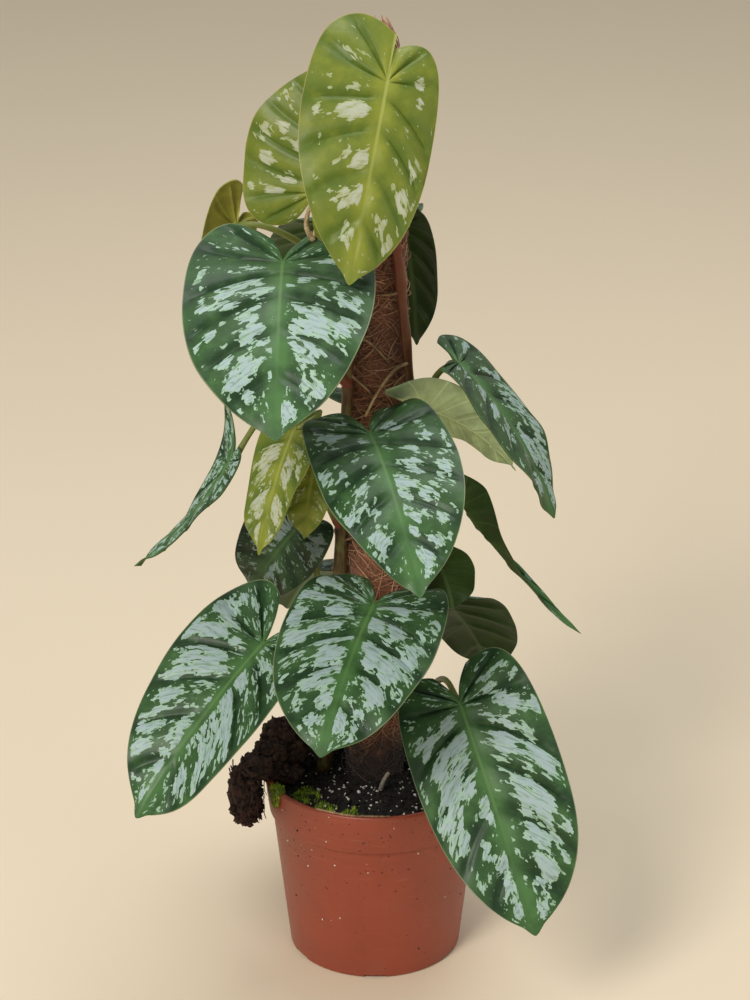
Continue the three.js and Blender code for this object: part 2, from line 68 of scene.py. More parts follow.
# Leaves, in the same terms as the solids: half, lobe, fold and full give the half on the viewer's left of a
# hanging leaf, then the other
PLAIN = dict(
    lobe=(30, 30), fold=(8, 8), full=(0.3, 0.3), bend=30, lobe_bend=20, twist=0, open=0.25, sinus=0.8,
    curl=3, wave=1.5, droop=0,
)
LEAVES = {
    "top_front": dict(
        stem="stem_right", height=440, tone="young", junction=(6, -38, 492), tip=(-12, -80, 406),
        faces=(0.05, -0.9, 0.4), half=(39, 28), lobe=(40, 29), fold=(4, -14), full=(-0.1, 1), bend=22,
        lobe_bend=12, open=-0.01, sinus=0.62,
    ),
    "top_left": dict(
        stem="stem_left", height=420, tone="young", junction=(-31, -34, 436), tip=(-23, -18, 496),
        faces=(-0.4, -0.85, 0.35), half=(18, 38), lobe=(26, 20), fold=(-30, 10), bend=10, lobe_bend=8,
    ),
    "side_left": dict(
        stem="stem_back", height=360, tone="young", junction=(-71, 18, 404), tip=(-77, 24, 340),
        faces=(-0.5, 0.8, 0.2), half=(14, 20), lobe=(8, 38),
    ),
    "upper_left": dict(
        stem="stem_left", height=345, tone="mature", junction=(-45, -48, 405), tip=(-46, -140, 350),
        faces=(-0.05, -0.45, 0.9), half=(47, 46), lobe=(43, 41), fold=(4, 6), full=(0.7, 0.4), bend=34,
        lobe_bend=-18, open=0.12, sinus=0.4,
    ),
    "upper_right": dict(
        stem="stem_back", height=370, tone="mature", junction=(14, 26, 403), tip=(22, 40, 333),
        faces=(0.35, 0.93, 0.1), half=(17, 20), lobe=(24, 24), curl=6,
    ),
    "mid_right": dict(
        stem="stem_right", height=310, tone="mature", junction=(43, -14, 341), tip=(90, -48, 272),
        faces=(0.78, -0.15, 0.58), half=(36, 36), lobe=(2, 22),
    ),
    "mid_right_back": dict(
        stem="stem_right", height=290, tone="mature", junction=(24, -25, 322), tip=(72, -8, 281),
        faces=(0.35, 0.3, 0.88), half=(20, 15), lobe=(27, 10), fold=(50, -25), full=(0, 1),
    ),
    "centre": dict(
        stem="stem_right", height=255, tone="mature", junction=(-2, -70, 324), tip=(21, -153, 276),
        faces=(0.05, -0.45, 0.89), half=(35, 38), lobe=(32, 34), bend=36,
    ),
    "young_left": dict(
        stem="stem_left", height=285, tone="young", junction=(-41, -33, 312), tip=(-58, -66, 259),
        faces=(-0.6, -0.7, 0.3), half=(20, 16), lobe=(16, 16), bend=20,
    ),
    "young_back": dict(
        stem="stem_left", height=250, tone="young", junction=(-31, -29, 290), tip=(-36, -40, 256),
        faces=(-0.2, -0.9, 0.3), half=(14, 12), lobe=(9, 9),
    ),
    "left_edge": dict(
        stem="stem_left", height=330, tone="mature", junction=(-76, -8, 284), tip=(-118, -80, 259),
        faces=(-0.7, -0.16, 0.63), half=(15, 12), lobe=(42, 8), fold=(0, 0), bend=-22, lobe_bend=-50,
        curl=1, droop=0.45,
    ),
    "right_edge": dict(
        stem="stem_right", height=215, tone="mature", junction=(44, -13, 266), tip=(104, -50, 208),
        faces=(0.72, 0.16, 0.66), half=(14, 5), lobe=(12, 8), fold=(58, 0), full=(-0.2, 0.3), bend=-16,
        twist=82, curl=1,
    ),
    "low_left_back": dict(
        stem="stem_left", height=185, tone="mature", junction=(-42, -8, 246), tip=(-66, 4, 206),
        faces=(-0.25, -0.85, 0.45), half=(26, 22), lobe=(20, 18),
    ),
    "low_left": dict(
        stem="stem_left", height=135, tone="mature", junction=(-58, -50, 201), tip=(-119, -110, 135),
        faces=(-0.25, -0.75, 0.55), half=(38, 34), lobe=(36, 24), fold=(4, 26), full=(0.3, 1.5), lobe_bend=-8,
    ),
    "low_centre": dict(
        stem="stem_right", height=165, tone="mature", junction=(-1, -66, 230), tip=(-26, -148, 189),
        faces=(0, -0.4, 0.9), half=(39, 40), lobe=(34, 34), full=(1, 0.7), bend=36,
    ),
    "low_right": dict(
        stem="stem_right", height=118, tone="mature", junction=(44, -58, 170), tip=(81, -118, 72),
        faces=(0.05, -0.82, 0.55), half=(36, 41), lobe=(22, 28), full=(0.7, 1.2), bend=20,
    ),
    "low_right_back": dict(
        stem="stem_back", height=125, tone="mature", junction=(35, 42, 186), tip=(65, 76, 125),
        faces=(0.4, 0.8, 0.4), half=(34, 34), lobe=(10, 24),
    ),
    "right_fold": dict(
        stem="stem_back", height=170, tone="mature", junction=(34, 20, 216), tip=(42, 18, 190),
        faces=(0.2, 0.75, 0.6), half=(20, 20), lobe=(16, 16),
    ),
    "back_upper": dict(
        stem="stem_back", height=335, tone="mature", junction=(-12, 56, 395), tip=(-32, 128, 330),
        faces=(-0.2, 0.55, 0.8), half=(40, 40), lobe=(30, 30),
    ),
    "back_middle": dict(
        stem="stem_back", height=240, tone="mature", junction=(10, 68, 290), tip=(25, 150, 235),
        faces=(0.2, 0.6, 0.8), half=(42, 42), lobe=(32, 32),
    ),
    "back_low": dict(
        stem="stem_back", height=150, tone="mature", junction=(-15, 62, 200), tip=(-50, 130, 140),
        faces=(-0.3, 0.6, 0.75), half=(40, 40), lobe=(30, 30),
    ),
}

# Single strands in millimetres: name, points, radius at each end, sides
STRANDS = [
    ("pale_root", [(17, -13, 341), (9, -19, 338), (1, -18.5, 326), (-5, -16.5, 313)], (1.0, 0.6), 8),
    ("rim_strand", [(-31, -50.5, 105.6), (-14, -57.6, 105.7), (0, -59.2, 105.9), (8, -58.6, 105.5)], (0.6, 0.5), 8),
    ("twig", [(3, -26, 104), (4, -28, 109), (7, -30, 116)], (1.3, 1.0), 8),
    ("sheath_a", [(-28, -31, 434), (-32, -33.5, 428), (-33.5, -34, 419), (-30, -32, 411)], (0.5, 1.7), 8),
    ("sheath_b", [(-27, -30, 431), (-29, -33, 425), (-29, -33, 417), (-31, -32, 412)], (0.4, 1.3), 8),
]
# Partly painted light: this leaf's underside is painted paler, as lit, and the other undersides darker, as in shade
LIT_PALE_BELOW = ("mid_right_back",)

# Silver on each leaf: how much of it is silvered between its larger patches, and those patches as column (positive
# on the viewer's left), row, reach along the side veins and reach across them. painted_shade is painted shade: how
# much darker a blade that lies in the shade of other leaves is painted than the others
SILVER = {
    "upper_left": dict(amount=-0.54, patches=(
        (-0.41, 0.697, 0.29, 0.109), (0.38, 0.485, 0.24, 0.056), (0.21, 0.566, 0.11, 0.026),
        (0.33, 0.685, 0.18, 0.054), (0.79, 0.485, 0.05, 0.04), (0.53, 0.546, 0.12, 0.031), (-0.44, 0.566, 0.1, 0.02),
        (-0.75, 0.53, 0.11, 0.053), (-0.79, 0.626, 0.14, 0.056), (-0.24, 0.451, 0.05, 0.038),
        (0.57, 0.804, 0.29, 0.046), (0.65, 0.859, 0.18, 0.028), (0.66, 0.733, 0.08, 0.021),
        (-0.71, 0.843, 0.29, 0.044), (-0.47, 0.94, 0.47, 0.031), (0.13, 0.856, 0.11, 0.016),
        (-0.07, 0.865, 0.09, 0.013), (-0.48, 0.356, 0.2, 0.015), (0.75, 0.623, 0.06, 0.02),
        (0.92, 0.638, 0.05, 0.016), (-0.55, 0.465, 0.06, 0.029), (0.18, 0.745, 0.11, 0.016), (1, 0.146, 0.07, 0.011),
    )),
    "low_right": dict(amount=-0.42, patches=(
        (0.37, 0.523, 0.36, 0.111), (0.71, 0.588, 0.24, 0.065), (0.13, 0.704, 0.16, 0.043),
        (0.27, 0.868, 0.33, 0.058), (-0.6, 0.842, 0.24, 0.054), (-0.54, 0.723, 0.28, 0.066),
        (-0.54, 0.632, 0.26, 0.06), (-0.36, 0.481, 0.18, 0.052), (-0.4, 0.406, 0.17, 0.029),
        (-0.7, 0.467, 0.24, 0.055), (-0.61, 0.336, 0.25, 0.02), (-0.49, 0.281, 0.14, 0.04), (-0.92, 0.343, 0.1, 0.02),
        (-0.56, 0.212, 0.07, 0.026), (0.3, 0.384, 0.13, 0.039), (0.68, 0.395, 0.12, 0.031),
        (0.95, 0.446, 0.07, 0.027), (0.7, 0.688, 0.13, 0.029), (0.44, 0.771, 0.15, 0.024), (-0.67, 0.936, 0.2, 0.032),
        (0.54, 0.943, 0.38, 0.018), (-0.94, 0.482, 0.06, 0.027), (-0.87, 0.643, 0.05, 0.033),
    )),
    "low_left": dict(amount=-0.24, patches=(
        (0.53, 0.481, 0.3, 0.041), (0.39, 0.539, 0.27, 0.029), (0.71, 0.55, 0.12, 0.027), (0.72, 0.307, 0.25, 0.049),
        (0.65, 0.381, 0.18, 0.028), (0.9, 0.402, 0.11, 0.024), (0.31, 0.393, 0.07, 0.021), (0.67, 0.636, 0.18, 0.028),
        (0.44, 0.66, 0.07, 0.011), (0.76, 0.718, 0.16, 0.039), (0.79, 0.798, 0.2, 0.024), (-0.12, 0.533, 0.15, 0.045),
        (-0.21, 0.608, 0.25, 0.043), (0.05, 0.665, 0.07, 0.032), (0.14, 0.741, 0.17, 0.042),
        (-0.42, 0.713, 0.34, 0.047), (-0.55, 0.624, 0.22, 0.038), (0.1, 0.808, 0.13, 0.034),
        (0.17, 0.871, 0.21, 0.04), (-0.51, 0.844, 0.3, 0.03), (0.32, 0.956, 0.33, 0.023), (-0.7, 0.728, 0.18, 0.04),
        (-0.27, 0.428, 0.14, 0.026), (0.82, 0.224, 0.06, 0.017),
    )),
    "centre": dict(amount=-0.56, patches=(
        (-0.63, 0.33, 0.08, 0.032), (-0.68, 0.386, 0.07, 0.014), (-0.3, 0.275, 0.12, 0.075),
        (-0.88, 0.41, 0.08, 0.032), (0.55, 0.34, 0.2, 0.045), (0.56, 0.17, 0.08, 0.053), (-0.4, 0.481, 0.11, 0.03),
        (-0.35, 0.568, 0.21, 0.037), (-0.76, 0.563, 0.13, 0.065), (-0.24, 0.653, 0.19, 0.031),
        (-0.52, 0.685, 0.15, 0.031), (-0.17, 0.714, 0.14, 0.02), (-0.2, 0.776, 0.24, 0.029),
        (-0.5, 0.756, 0.11, 0.017), (-0.74, 0.735, 0.11, 0.023), (-0.18, 0.834, 0.12, 0.016),
        (-0.7, 0.823, 0.13, 0.027), (-0.51, 0.888, 0.37, 0.034), (-0.75, 0.931, 0.26, 0.023),
        (0.5, 0.643, 0.16, 0.035), (0.47, 0.731, 0.14, 0.028), (0.85, 0.698, 0.16, 0.038), (0.71, 0.816, 0.32, 0.05),
        (0.96, 0.62, 0.06, 0.022), (0.85, 0.503, 0.1, 0.023), (0.97, 0.473, 0.05, 0.022), (0.37, 0.503, 0.06, 0.017),
        (0.6, 0.57, 0.05, 0.011), (0.34, 0.576, 0.07, 0.017), (0.83, 0.579, 0.06, 0.02), (0.93, 0.87, 0.1, 0.017),
        (0.59, 0.531, 0.05, 0.013),
    )),
    "top_front": dict(amount=-0.62, patches=(
        (0.37, 0.495, 0.28, 0.039), (0.4, 0.407, 0.11, 0.028), (0.65, 0.423, 0.06, 0.023), (0.78, 0.476, 0.06, 0.019),
        (0.72, 0.571, 0.06, 0.017), (0.15, 0.682, 0.18, 0.028), (0.38, 0.642, 0.1, 0.02), (0.54, 0.66, 0.08, 0.011),
        (0.31, 0.78, 0.33, 0.032), (0.4, 0.876, 0.27, 0.038), (0.12, 0.936, 0.15, 0.017), (-0.87, 0.81, 0.16, 0.043),
        (-0.76, 0.677, 0.14, 0.042), (-0.94, 0.599, 0.09, 0.037), (-0.74, 0.572, 0.1, 0.037),
        (-0.4, 0.612, 0.09, 0.024), (-0.94, 0.394, 0.08, 0.016), (-0.61, 0.282, 0.12, 0.029),
        (-0.61, 0.354, 0.07, 0.017), (-0.57, 0.776, 0.07, 0.015), (-0.98, 0.688, 0.05, 0.018),
        (0.76, 0.375, 0.07, 0.011), (0.21, 0.382, 0.05, 0.016),
    )),
    "top_left": dict(amount=-0.6, patches=(
        (-0.76, 0.601, 0.1, 0.045), (-0.65, 0.482, 0.11, 0.041), (-0.33, 0.417, 0.13, 0.047),
        (-0.26, 0.614, 0.1, 0.039), (-0.5, 0.31, 0.16, 0.028), (-0.85, 0.337, 0.06, 0.028),
        (-0.54, 0.677, 0.1, 0.034),
    )),
    "low_centre": dict(amount=-0.12, patches=(
        (-0.13, 0.491, 0.14, 0.053), (-0.42, 0.47, 0.11, 0.049), (-0.25, 0.653, 0.16, 0.057),
        (-0.57, 0.652, 0.16, 0.053), (-0.7, 0.555, 0.14, 0.056), (-0.6, 0.75, 0.19, 0.044), (-0.88, 0.7, 0.13, 0.032),
        (-0.35, 0.342, 0.13, 0.043), (-0.74, 0.423, 0.09, 0.031), (0.37, 0.41, 0.18, 0.03),
        (0.45, 0.513, 0.18, 0.029), (0.43, 0.594, 0.17, 0.027), (0.3, 0.67, 0.16, 0.025), (0.37, 0.714, 0.22, 0.035),
        (0.53, 0.771, 0.11, 0.024), (0.25, 0.846, 0.25, 0.026), (0.59, 0.881, 0.17, 0.024),
        (-0.32, 0.902, 0.33, 0.034), (-0.63, 0.852, 0.17, 0.026), (0.82, 0.263, 0.12, 0.037),
        (0.88, 0.354, 0.13, 0.017), (0.75, 0.541, 0.11, 0.038), (0.87, 0.42, 0.11, 0.037),
    )),
    "mid_right": dict(amount=-0.6, patches=(
        (0.2, 0.537, 0.25, 0.038), (0.23, 0.608, 0.28, 0.034), (0.28, 0.695, 0.34, 0.043),
        (-0.23, 0.747, 0.28, 0.058), (-0.26, 0.808, 0.3, 0.044), (-0.7, 0.543, 0.33, 0.076),
        (-0.71, 0.641, 0.24, 0.042), (-0.77, 0.707, 0.21, 0.065), (-0.74, 0.807, 0.29, 0.06),
        (0.37, 0.891, 0.44, 0.033), (-0.67, 0.91, 0.42, 0.06), (0.2, 0.416, 0.23, 0.023), (-0.54, 0.407, 0.22, 0.016),
        (-0.69, 0.249, 0.28, 0.026), (-0.82, 0.423, 0.2, 0.029),
    )),
    "young_left": dict(amount=-0.2, patches=(
        (0.41, 0.533, 0.28, 0.086), (-0.31, 0.604, 0.34, 0.065), (0.35, 0.769, 0.3, 0.073),
        (-0.53, 0.792, 0.39, 0.055), (0.44, 0.904, 0.4, 0.041),
    )),
    "low_left_back": dict(amount=-0.35, painted_shade=0.55, patches=(
        (0.14, 0.301, 0.18, 0.324), (-0.19, 0.753, 0.23, 0.092), (-0.67, 0.304, 0.22, 0.096),
    )),
    "left_edge": dict(amount=0.08, patches=()),
    "right_edge": dict(amount=-0.05, patches=()),
    "side_left": dict(amount=-0.6, patches=()),
    "upper_right": dict(amount=-0.15, painted_shade=0.2, patches=()),
    "mid_right_back": dict(amount=-0.2, patches=()),
    "young_back": dict(amount=-0.35, patches=()),
    "low_right_back": dict(amount=-0.3, painted_shade=0.3, patches=()),
    "right_fold": dict(amount=-0.3, painted_shade=0.3, patches=()),
    "back_upper": dict(amount=-0.12, patches=()),
    "back_middle": dict(amount=-0.18, patches=()),
    "back_low": dict(amount=-0.1, patches=()),
}
PATCH_STRENGTH = 1.35
# Painted shade: the dark green that blades in the shade of other leaves are painted towards
PAINTED_SHADE_COLOUR = "#060b06"
UNDERSIDE_VEINS = 8.0


def linear(hex_colour):
    """An sRGB hex colour as linear red, green, blue and alpha."""
    channels = [int(hex_colour[i:i + 2], 16) / 255 for i in (1, 3, 5)]
    return [c / 12.92 if c <= 0.04045 else ((c + 0.055) / 1.055) ** 2.4 for c in channels] + [1.0]


def lerp(a, b, share):
    return a + (b - a) * share


def smooth(low, high, value):
    share = min(1, max(0, (value - low) / (high - low)))
    return share * share * (3 - 2 * share)


def cubic(a, b, c, d, t):
    u = 1 - t
    return u * u * u * a + 3 * u * u * t * b + 3 * u * t * t * c + t * t * t * d


def uneven(a, b):
    """The solids' own uneven surface: three waves that don't share a period."""
    return (math.sin(a * 3.1 + b * 1.7) + math.sin(a * 5.3 - b * 4.1 + 1) + math.sin(a * 1.9 + b * 7.3)) / 3


def outer_radius(z):
    return POT["base"] + (POT["rim"] - POT["step"] - POT["base"]) * z / POT["height"]


# Settings that a user would change
def colour_setting(name, description, hex_colour):
    return FloatVectorProperty(
        name=name, description=description, subtype="COLOR", size=4, min=0, max=1, default=linear(hex_colour)
    )


def size_setting(name, description, millimetres):
    return FloatProperty(
        name=name, description=description, subtype="DISTANCE", unit="LENGTH", min=0, default=millimetres * MM
    )


class PhilodendronBladeSettings(bpy.types.PropertyGroup):
    """Sizes and colours of the leaf blades."""

    margin: size_setting("Margin thickness", "Thickness of a blade at its margin", 0.6)
    relief: size_setting("Vein relief", "Depth of the side veins' grooves on a large blade", 1.5)
    vein_pairs: IntProperty(name="Vein pairs", description="Side veins on each half of a blade", default=7, min=3)
    green: colour_setting("Mature green", "Upper side of a mature blade", "#1f3a1f")
    # Painted highlight: lit_green is painted where a mature blade swells between its side veins
    lit_green: colour_setting("Green by the veins", "Mature blade where it swells between its veins", "#4c7440")
    silver: colour_setting("Silver", "Middle of a large silver patch", "#a3b8b8")
    mint: colour_setting("Mint", "Small silver patches and the rims of large ones", "#a0bfa6")
    young: colour_setting("Young green", "Upper side of a young blade", "#566b22")
    # Painted highlight: young_lit is painted where a young blade swells between its side veins
    young_lit: colour_setting("Young yellow", "Young blade near its margin and veins", "#868e32")
    under: colour_setting("Underside", "Underside of a blade", "#3c5c1e")


class PhilodendronStemSettings(bpy.types.PropertyGroup):
    """Sizes and colours of the climbing stems, petioles and aerial roots."""

    ring: size_setting("Node ring", "How far the ring at each leaf stands out", 0.7)
    root: size_setting("Root radius", "Radius of an aerial root", 0.8)
    bark: colour_setting("Stem brown", "Older skin of a stem", "#5e4a22")
    green: colour_setting("Petiole green", "Skin of a petiole", "#6f7a38")
    red: colour_setting("Petiole red", "Flush at a petiole's foot", "#743420")


class PhilodendronPoleSettings(bpy.types.PropertyGroup):
    """Fibres and colours of the coir pole."""

    fibres: IntProperty(name="Fibres", description="Loose fibres over the sleeve", default=2600, min=0)
    fibre: size_setting("Fibre radius", "Radius of a coconut fibre", 0.24)
    # Partly painted shade: dark coir is also the tone of the sleeve, as fibre in the shaded depth
    dark: colour_setting("Dark coir", "Fibre in the depth of the sleeve", "#5a3623")
    light: colour_setting("Light coir", "Loose fibre at the surface", "#c79a76")


class PhilodendronSoilSettings(bpy.types.PropertyGroup):
    """Grains on the soil."""

    crumbs: IntProperty(name="Crumbs", description="Peat crumbs on the soil", default=1100, min=0)
    perlite: IntProperty(name="Perlite", description="White perlite grains on the soil", default=420, min=0)
    moss: IntProperty(name="Moss", description="Moss shoots in all the tufts", default=900, min=0)


class PhilodendronPotSettings(bpy.types.PropertyGroup):
    """Roundness and colour of the pot."""

    rounding: size_setting("Rounding", "Roundness of the pot's edges", 0.5)
    clay: colour_setting("Clay colour", "Moulded plastic of the pot", "#98452f")


class PhilodendronStageSettings(bpy.types.PropertyGroup):
    """The floor and the light."""

    floor: colour_setting("Floor", "Plain pale floor", "#ecdcc0")
    light: FloatProperty(name="Light", description="Strength of all the lights", default=1.0, min=0)


# Materials
def add_node(tree, kind, values=None, **inputs):
    """One shader node: values set its properties, and inputs its sockets by name or number, as links or defaults."""
    node = tree.nodes.new(kind)
    for key, value in (values or {}).items():
        setattr(node, key, value)
    for key, value in inputs.items():
        socket = node.inputs[int(key[1:]) if key[0] == "_" else key.replace("_", " ")]
        if isinstance(value, bpy.types.NodeSocket):
            tree.links.new(value, socket)
        else:
            socket.default_value = value
    return node


def start_material(name):
    """An empty material with its tree, its Principled shader and its output."""
    material = bpy.data.materials.new(name)
    material.use_nodes = True
    tree = material.node_tree
    tree.nodes.clear()
    shader = add_node(tree, "ShaderNodeBsdfPrincipled")
    add_node(tree, "ShaderNodeOutputMaterial", Surface=shader.outputs["BSDF"])
    return material, tree, shader


def noise_of(tree, vector, scale, detail=3.0, roughness=0.5, distortion=0.0):
    node = add_node(
        tree, "ShaderNodeTexNoise", Vector=vector, Scale=scale, Detail=detail, Roughness=roughness,
        Distortion=distortion,
    )
    return node.outputs[0]


def maths(tree, operation, a, b=0.0, c=0.0, clamp=False):
    settings = {"operation": operation, "use_clamp": clamp}
    return add_node(tree, "ShaderNodeMath", settings, _0=a, _1=b, _2=c).outputs[0]


def ramp(tree, value, low, high):
    """0 at low to 1 at high, smoothly."""
    node = add_node(tree, "ShaderNodeMapRange", {"interpolation_type": "SMOOTHSTEP"}, Value=value)
    node.inputs["From Min"].default_value = low
    node.inputs["From Max"].default_value = high
    return node.outputs[0]


def blend(tree, share, a, b):
    node = add_node(tree, "ShaderNodeMix", {"data_type": "RGBA"}, _0=share, _6=a, _7=b)
    return node.outputs[2]


def bump(tree, shader, height, depth, strength=1.0):
    """Relief of the given depth in millimetres on a surface."""
    node = add_node(tree, "ShaderNodeBump", Height=height, Strength=strength, Distance=depth * MM)
    tree.links.new(node.outputs[0], shader.inputs["Normal"])


def object_place(tree):
    """Object coordinates in millimetres."""
    place = add_node(tree, "ShaderNodeTexCoord").outputs["Object"]
    return add_node(tree, "ShaderNodeVectorMath", {"operation": "SCALE"}, _0=place, Scale=1000.0).outputs[0]


def attribute(tree, name, output="Vector"):
    return add_node(tree, "ShaderNodeAttribute", {"attribute_name": name}).outputs[output]


def waxy_blade(name, greens, silvers, pairs, young):
    """Living leaf with a wax skin: satin, mottled green, with silver where air lies under the skin."""
    material, tree, shader = start_material(name)
    place = attribute(tree, "place")
    flat = attribute(tree, "flat")
    amount = attribute(tree, "silver", "Fac")
    parts = add_node(tree, "ShaderNodeSeparateXYZ", Vector=place)
    column, row = parts.outputs[0], parts.outputs[1]
    flat = add_node(tree, "ShaderNodeSeparateXYZ", Vector=flat)
    across, along, painted_shade = flat.outputs
    column = maths(tree, "ABSOLUTE", column)
    across = maths(tree, "ABSOLUTE", across)

    # Distance from the nearest side vein, 0 on it and 1 half way to the next
    share = maths(tree, "FRACT", maths(tree, "MULTIPLY", row, float(pairs)))
    vein = maths(tree, "MULTIPLY_ADD", maths(tree, "ABSOLUTE", maths(tree, "SUBTRACT", share, 0.5)), -2.0, 1.0)

    # Patches lie along the side veins, so their pattern is drawn out along the columns, to about 10 by 6 mm on a
    # large mature blade
    drawn = add_node(tree, "ShaderNodeMapping", Vector=place)
    drawn.inputs["Scale"].default_value = (4.2, 22.0, 7.0) if not young else (2.6, 12.0, 7.0)
    wide = noise_of(tree, drawn.outputs[0], 1.0, 2.5, 0.5, 0.3)
    fine = noise_of(tree, drawn.outputs[0], 3.1, 3.0, 0.6, 0.4)
    # Each patch is made of small angular fields of cells, about 4 mm along the veins and 1.5 mm across
    fields = add_node(tree, "ShaderNodeMapping", Vector=place)
    fields.inputs["Scale"].default_value = (11.0, 85.0, 7.0) if not young else (8.0, 60.0, 7.0)
    cell = add_node(tree, "ShaderNodeTexVoronoi", Vector=fields.outputs[0], Scale=1.0).outputs["Color"]
    cell = add_node(tree, "ShaderNodeSeparateXYZ", Vector=cell).outputs[0]
    jagged = maths(tree, "MULTIPLY_ADD", cell, 0.9, -0.45)
    field = maths(tree, "MULTIPLY_ADD", maths(tree, "SUBTRACT", wide, 0.5), 4.4, amount)
    fewer = maths(tree, "MULTIPLY_ADD", amount, 0.8, -0.62)
    speck = maths(tree, "MULTIPLY_ADD", maths(tree, "SUBTRACT", fine, 0.5), 5.0, fewer)
    field = maths(tree, "ADD", maths(tree, "MAXIMUM", field, speck), jagged)
    slits = add_node(tree, "ShaderNodeMapping", Vector=place)
    slits.inputs["Scale"].default_value = (5.0, 62.0, 5.0) if not young else (4.0, 34.0, 5.0)
    slit = noise_of(tree, slits.outputs[0], 1.0, 2.0, 0.5, 0.4)
    field = maths(tree, "SUBTRACT", field, maths(tree, "MULTIPLY", ramp(tree, slit, 0.5, 0.68), 0.85))
    by_vein = maths(tree, "MULTIPLY", ramp(tree, vein, 0.34, 0.04), 0.7)
    by_rib = maths(tree, "MULTIPLY", ramp(tree, across, 3.0, 0.8), 3.0)
    by_margin = maths(tree, "MULTIPLY", ramp(tree, column, 0.93, 0.985), 2.0)
    field = maths(tree, "SUBTRACT", field, maths(tree, "ADD", by_vein, maths(tree, "ADD", by_rib, by_margin)))
    patch = ramp(tree, field, -0.02, 0.04)

    mottle = noise_of(tree, object_place(tree), 0.11, 4.0, 0.6)
    # Painted light and shade: paler between the side veins, darker in their grooves, over a random mottle
    swell_light_and_mottle = maths(tree, "ADD", maths(tree, "MULTIPLY", ramp(tree, vein, 0.1, 0.8), 0.7), ramp(tree, mottle, 0.4, 0.8))
    near_rib = maths(tree, "MULTIPLY", ramp(tree, across, 9.0, 1.0), 0.55)
    lit = maths(tree, "MULTIPLY_ADD", swell_light_and_mottle, 0.5, near_rib, clamp=True)
    green = blend(tree, lit, greens[0], greens[1])
    # Fine streaks of shade in the silver, about 7 mm along the side veins and 1.2 mm across
    streaks = add_node(tree, "ShaderNodeMapping", Vector=place)
    streaks.inputs["Scale"].default_value = (6.0, 110.0, 7.0) if not young else (5.0, 70.0, 7.0)
    streak = noise_of(tree, streaks.outputs[0], 1.0, 2.0, 0.6, 0.5)
    silver = blend(tree, ramp(tree, field, 0.08, 0.75), silvers[0], silvers[1])
    silver = blend(tree, maths(tree, "MULTIPLY", ramp(tree, streak, 0.46, 0.68), 0.55), silver, greens[1])
    skin = blend(tree, patch, green, silver)
    rib = maths(tree, "MULTIPLY", ramp(tree, across, 1.1, 0.4), ramp(tree, along, 0.95, 0.0))
    skin = blend(tree, maths(tree, "MULTIPLY", rib, 0.75), skin, greens[2])
    margin = maths(tree, "MULTIPLY", ramp(tree, column, 0.985, 0.998), 0.6)
    skin = blend(tree, margin, skin, greens[3])
    # Painted shade: a blade in the shade of other leaves is painted darker, by its painted_shade value
    skin = blend(tree, painted_shade, skin, linear(PAINTED_SHADE_COLOUR))
    tree.links.new(skin, shader.inputs["Base Color"])
    rough = add_node(tree, "ShaderNodeMix", {"data_type": "FLOAT"}, _0=patch, _2=0.42, _3=0.55).outputs[0]
    tree.links.new(rough, shader.inputs["Roughness"])
    shader.inputs["IOR"].default_value = 1.42
    shader.inputs["Specular IOR Level"].default_value = 0.35
    shader.inputs["Coat Weight"].default_value = 0.05
    shader.inputs["Coat Roughness"].default_value = 0.25
    cells = noise_of(tree, object_place(tree), 1.1, 3.0, 0.6)
    bump(tree, shader, maths(tree, "ADD", cells, maths(tree, "MULTIPLY", patch, 0.6)), 0.12, 0.6)
    return material


def matt_underside(name, under, young):
    """Living leaf from below: matt and paler, with lighter side veins painted 8 a side, not on the relief's veins."""
    material, tree, shader = start_material(name)
    parts = add_node(tree, "ShaderNodeSeparateXYZ", Vector=attribute(tree, "place"))
    flat = add_node(tree, "ShaderNodeSeparateXYZ", Vector=attribute(tree, "flat"))
    across = maths(tree, "ABSOLUTE", flat.outputs[0])
    share = maths(tree, "FRACT", maths(tree, "MULTIPLY", parts.outputs[1], UNDERSIDE_VEINS))
    vein = maths(tree, "ABSOLUTE", maths(tree, "SUBTRACT", share, 0.5))
    pale = maths(tree, "MULTIPLY", ramp(tree, vein, 0.44, 0.5), 0.35)
    pale = maths(tree, "MAXIMUM", pale, maths(tree, "MULTIPLY", ramp(tree, across, 1.6, 0.7), 0.6))
    mottle = noise_of(tree, object_place(tree), 0.09, 4.0, 0.6)
    dark = [c * 0.62 for c in under[:3]] + [1.0]
    light = [min(1, c * 1.5 + 0.05) for c in under[:3]] + [1.0]
    skin = blend(tree, ramp(tree, mottle, 0.3, 0.75), dark, list(under))
    # Painted shade: the underside of a blade in the shade of other leaves is painted darker as well
    skin = blend(tree, flat.outputs[2], blend(tree, pale, skin, light), linear(PAINTED_SHADE_COLOUR))
    tree.links.new(skin, shader.inputs["Base Color"])
    shader.inputs["Roughness"].default_value = 0.5 if young else 0.55
    shader.inputs["IOR"].default_value = 1.42
    bump(tree, shader, noise_of(tree, object_place(tree), 1.4, 3.0, 0.6), 0.1, 0.5)
    return material


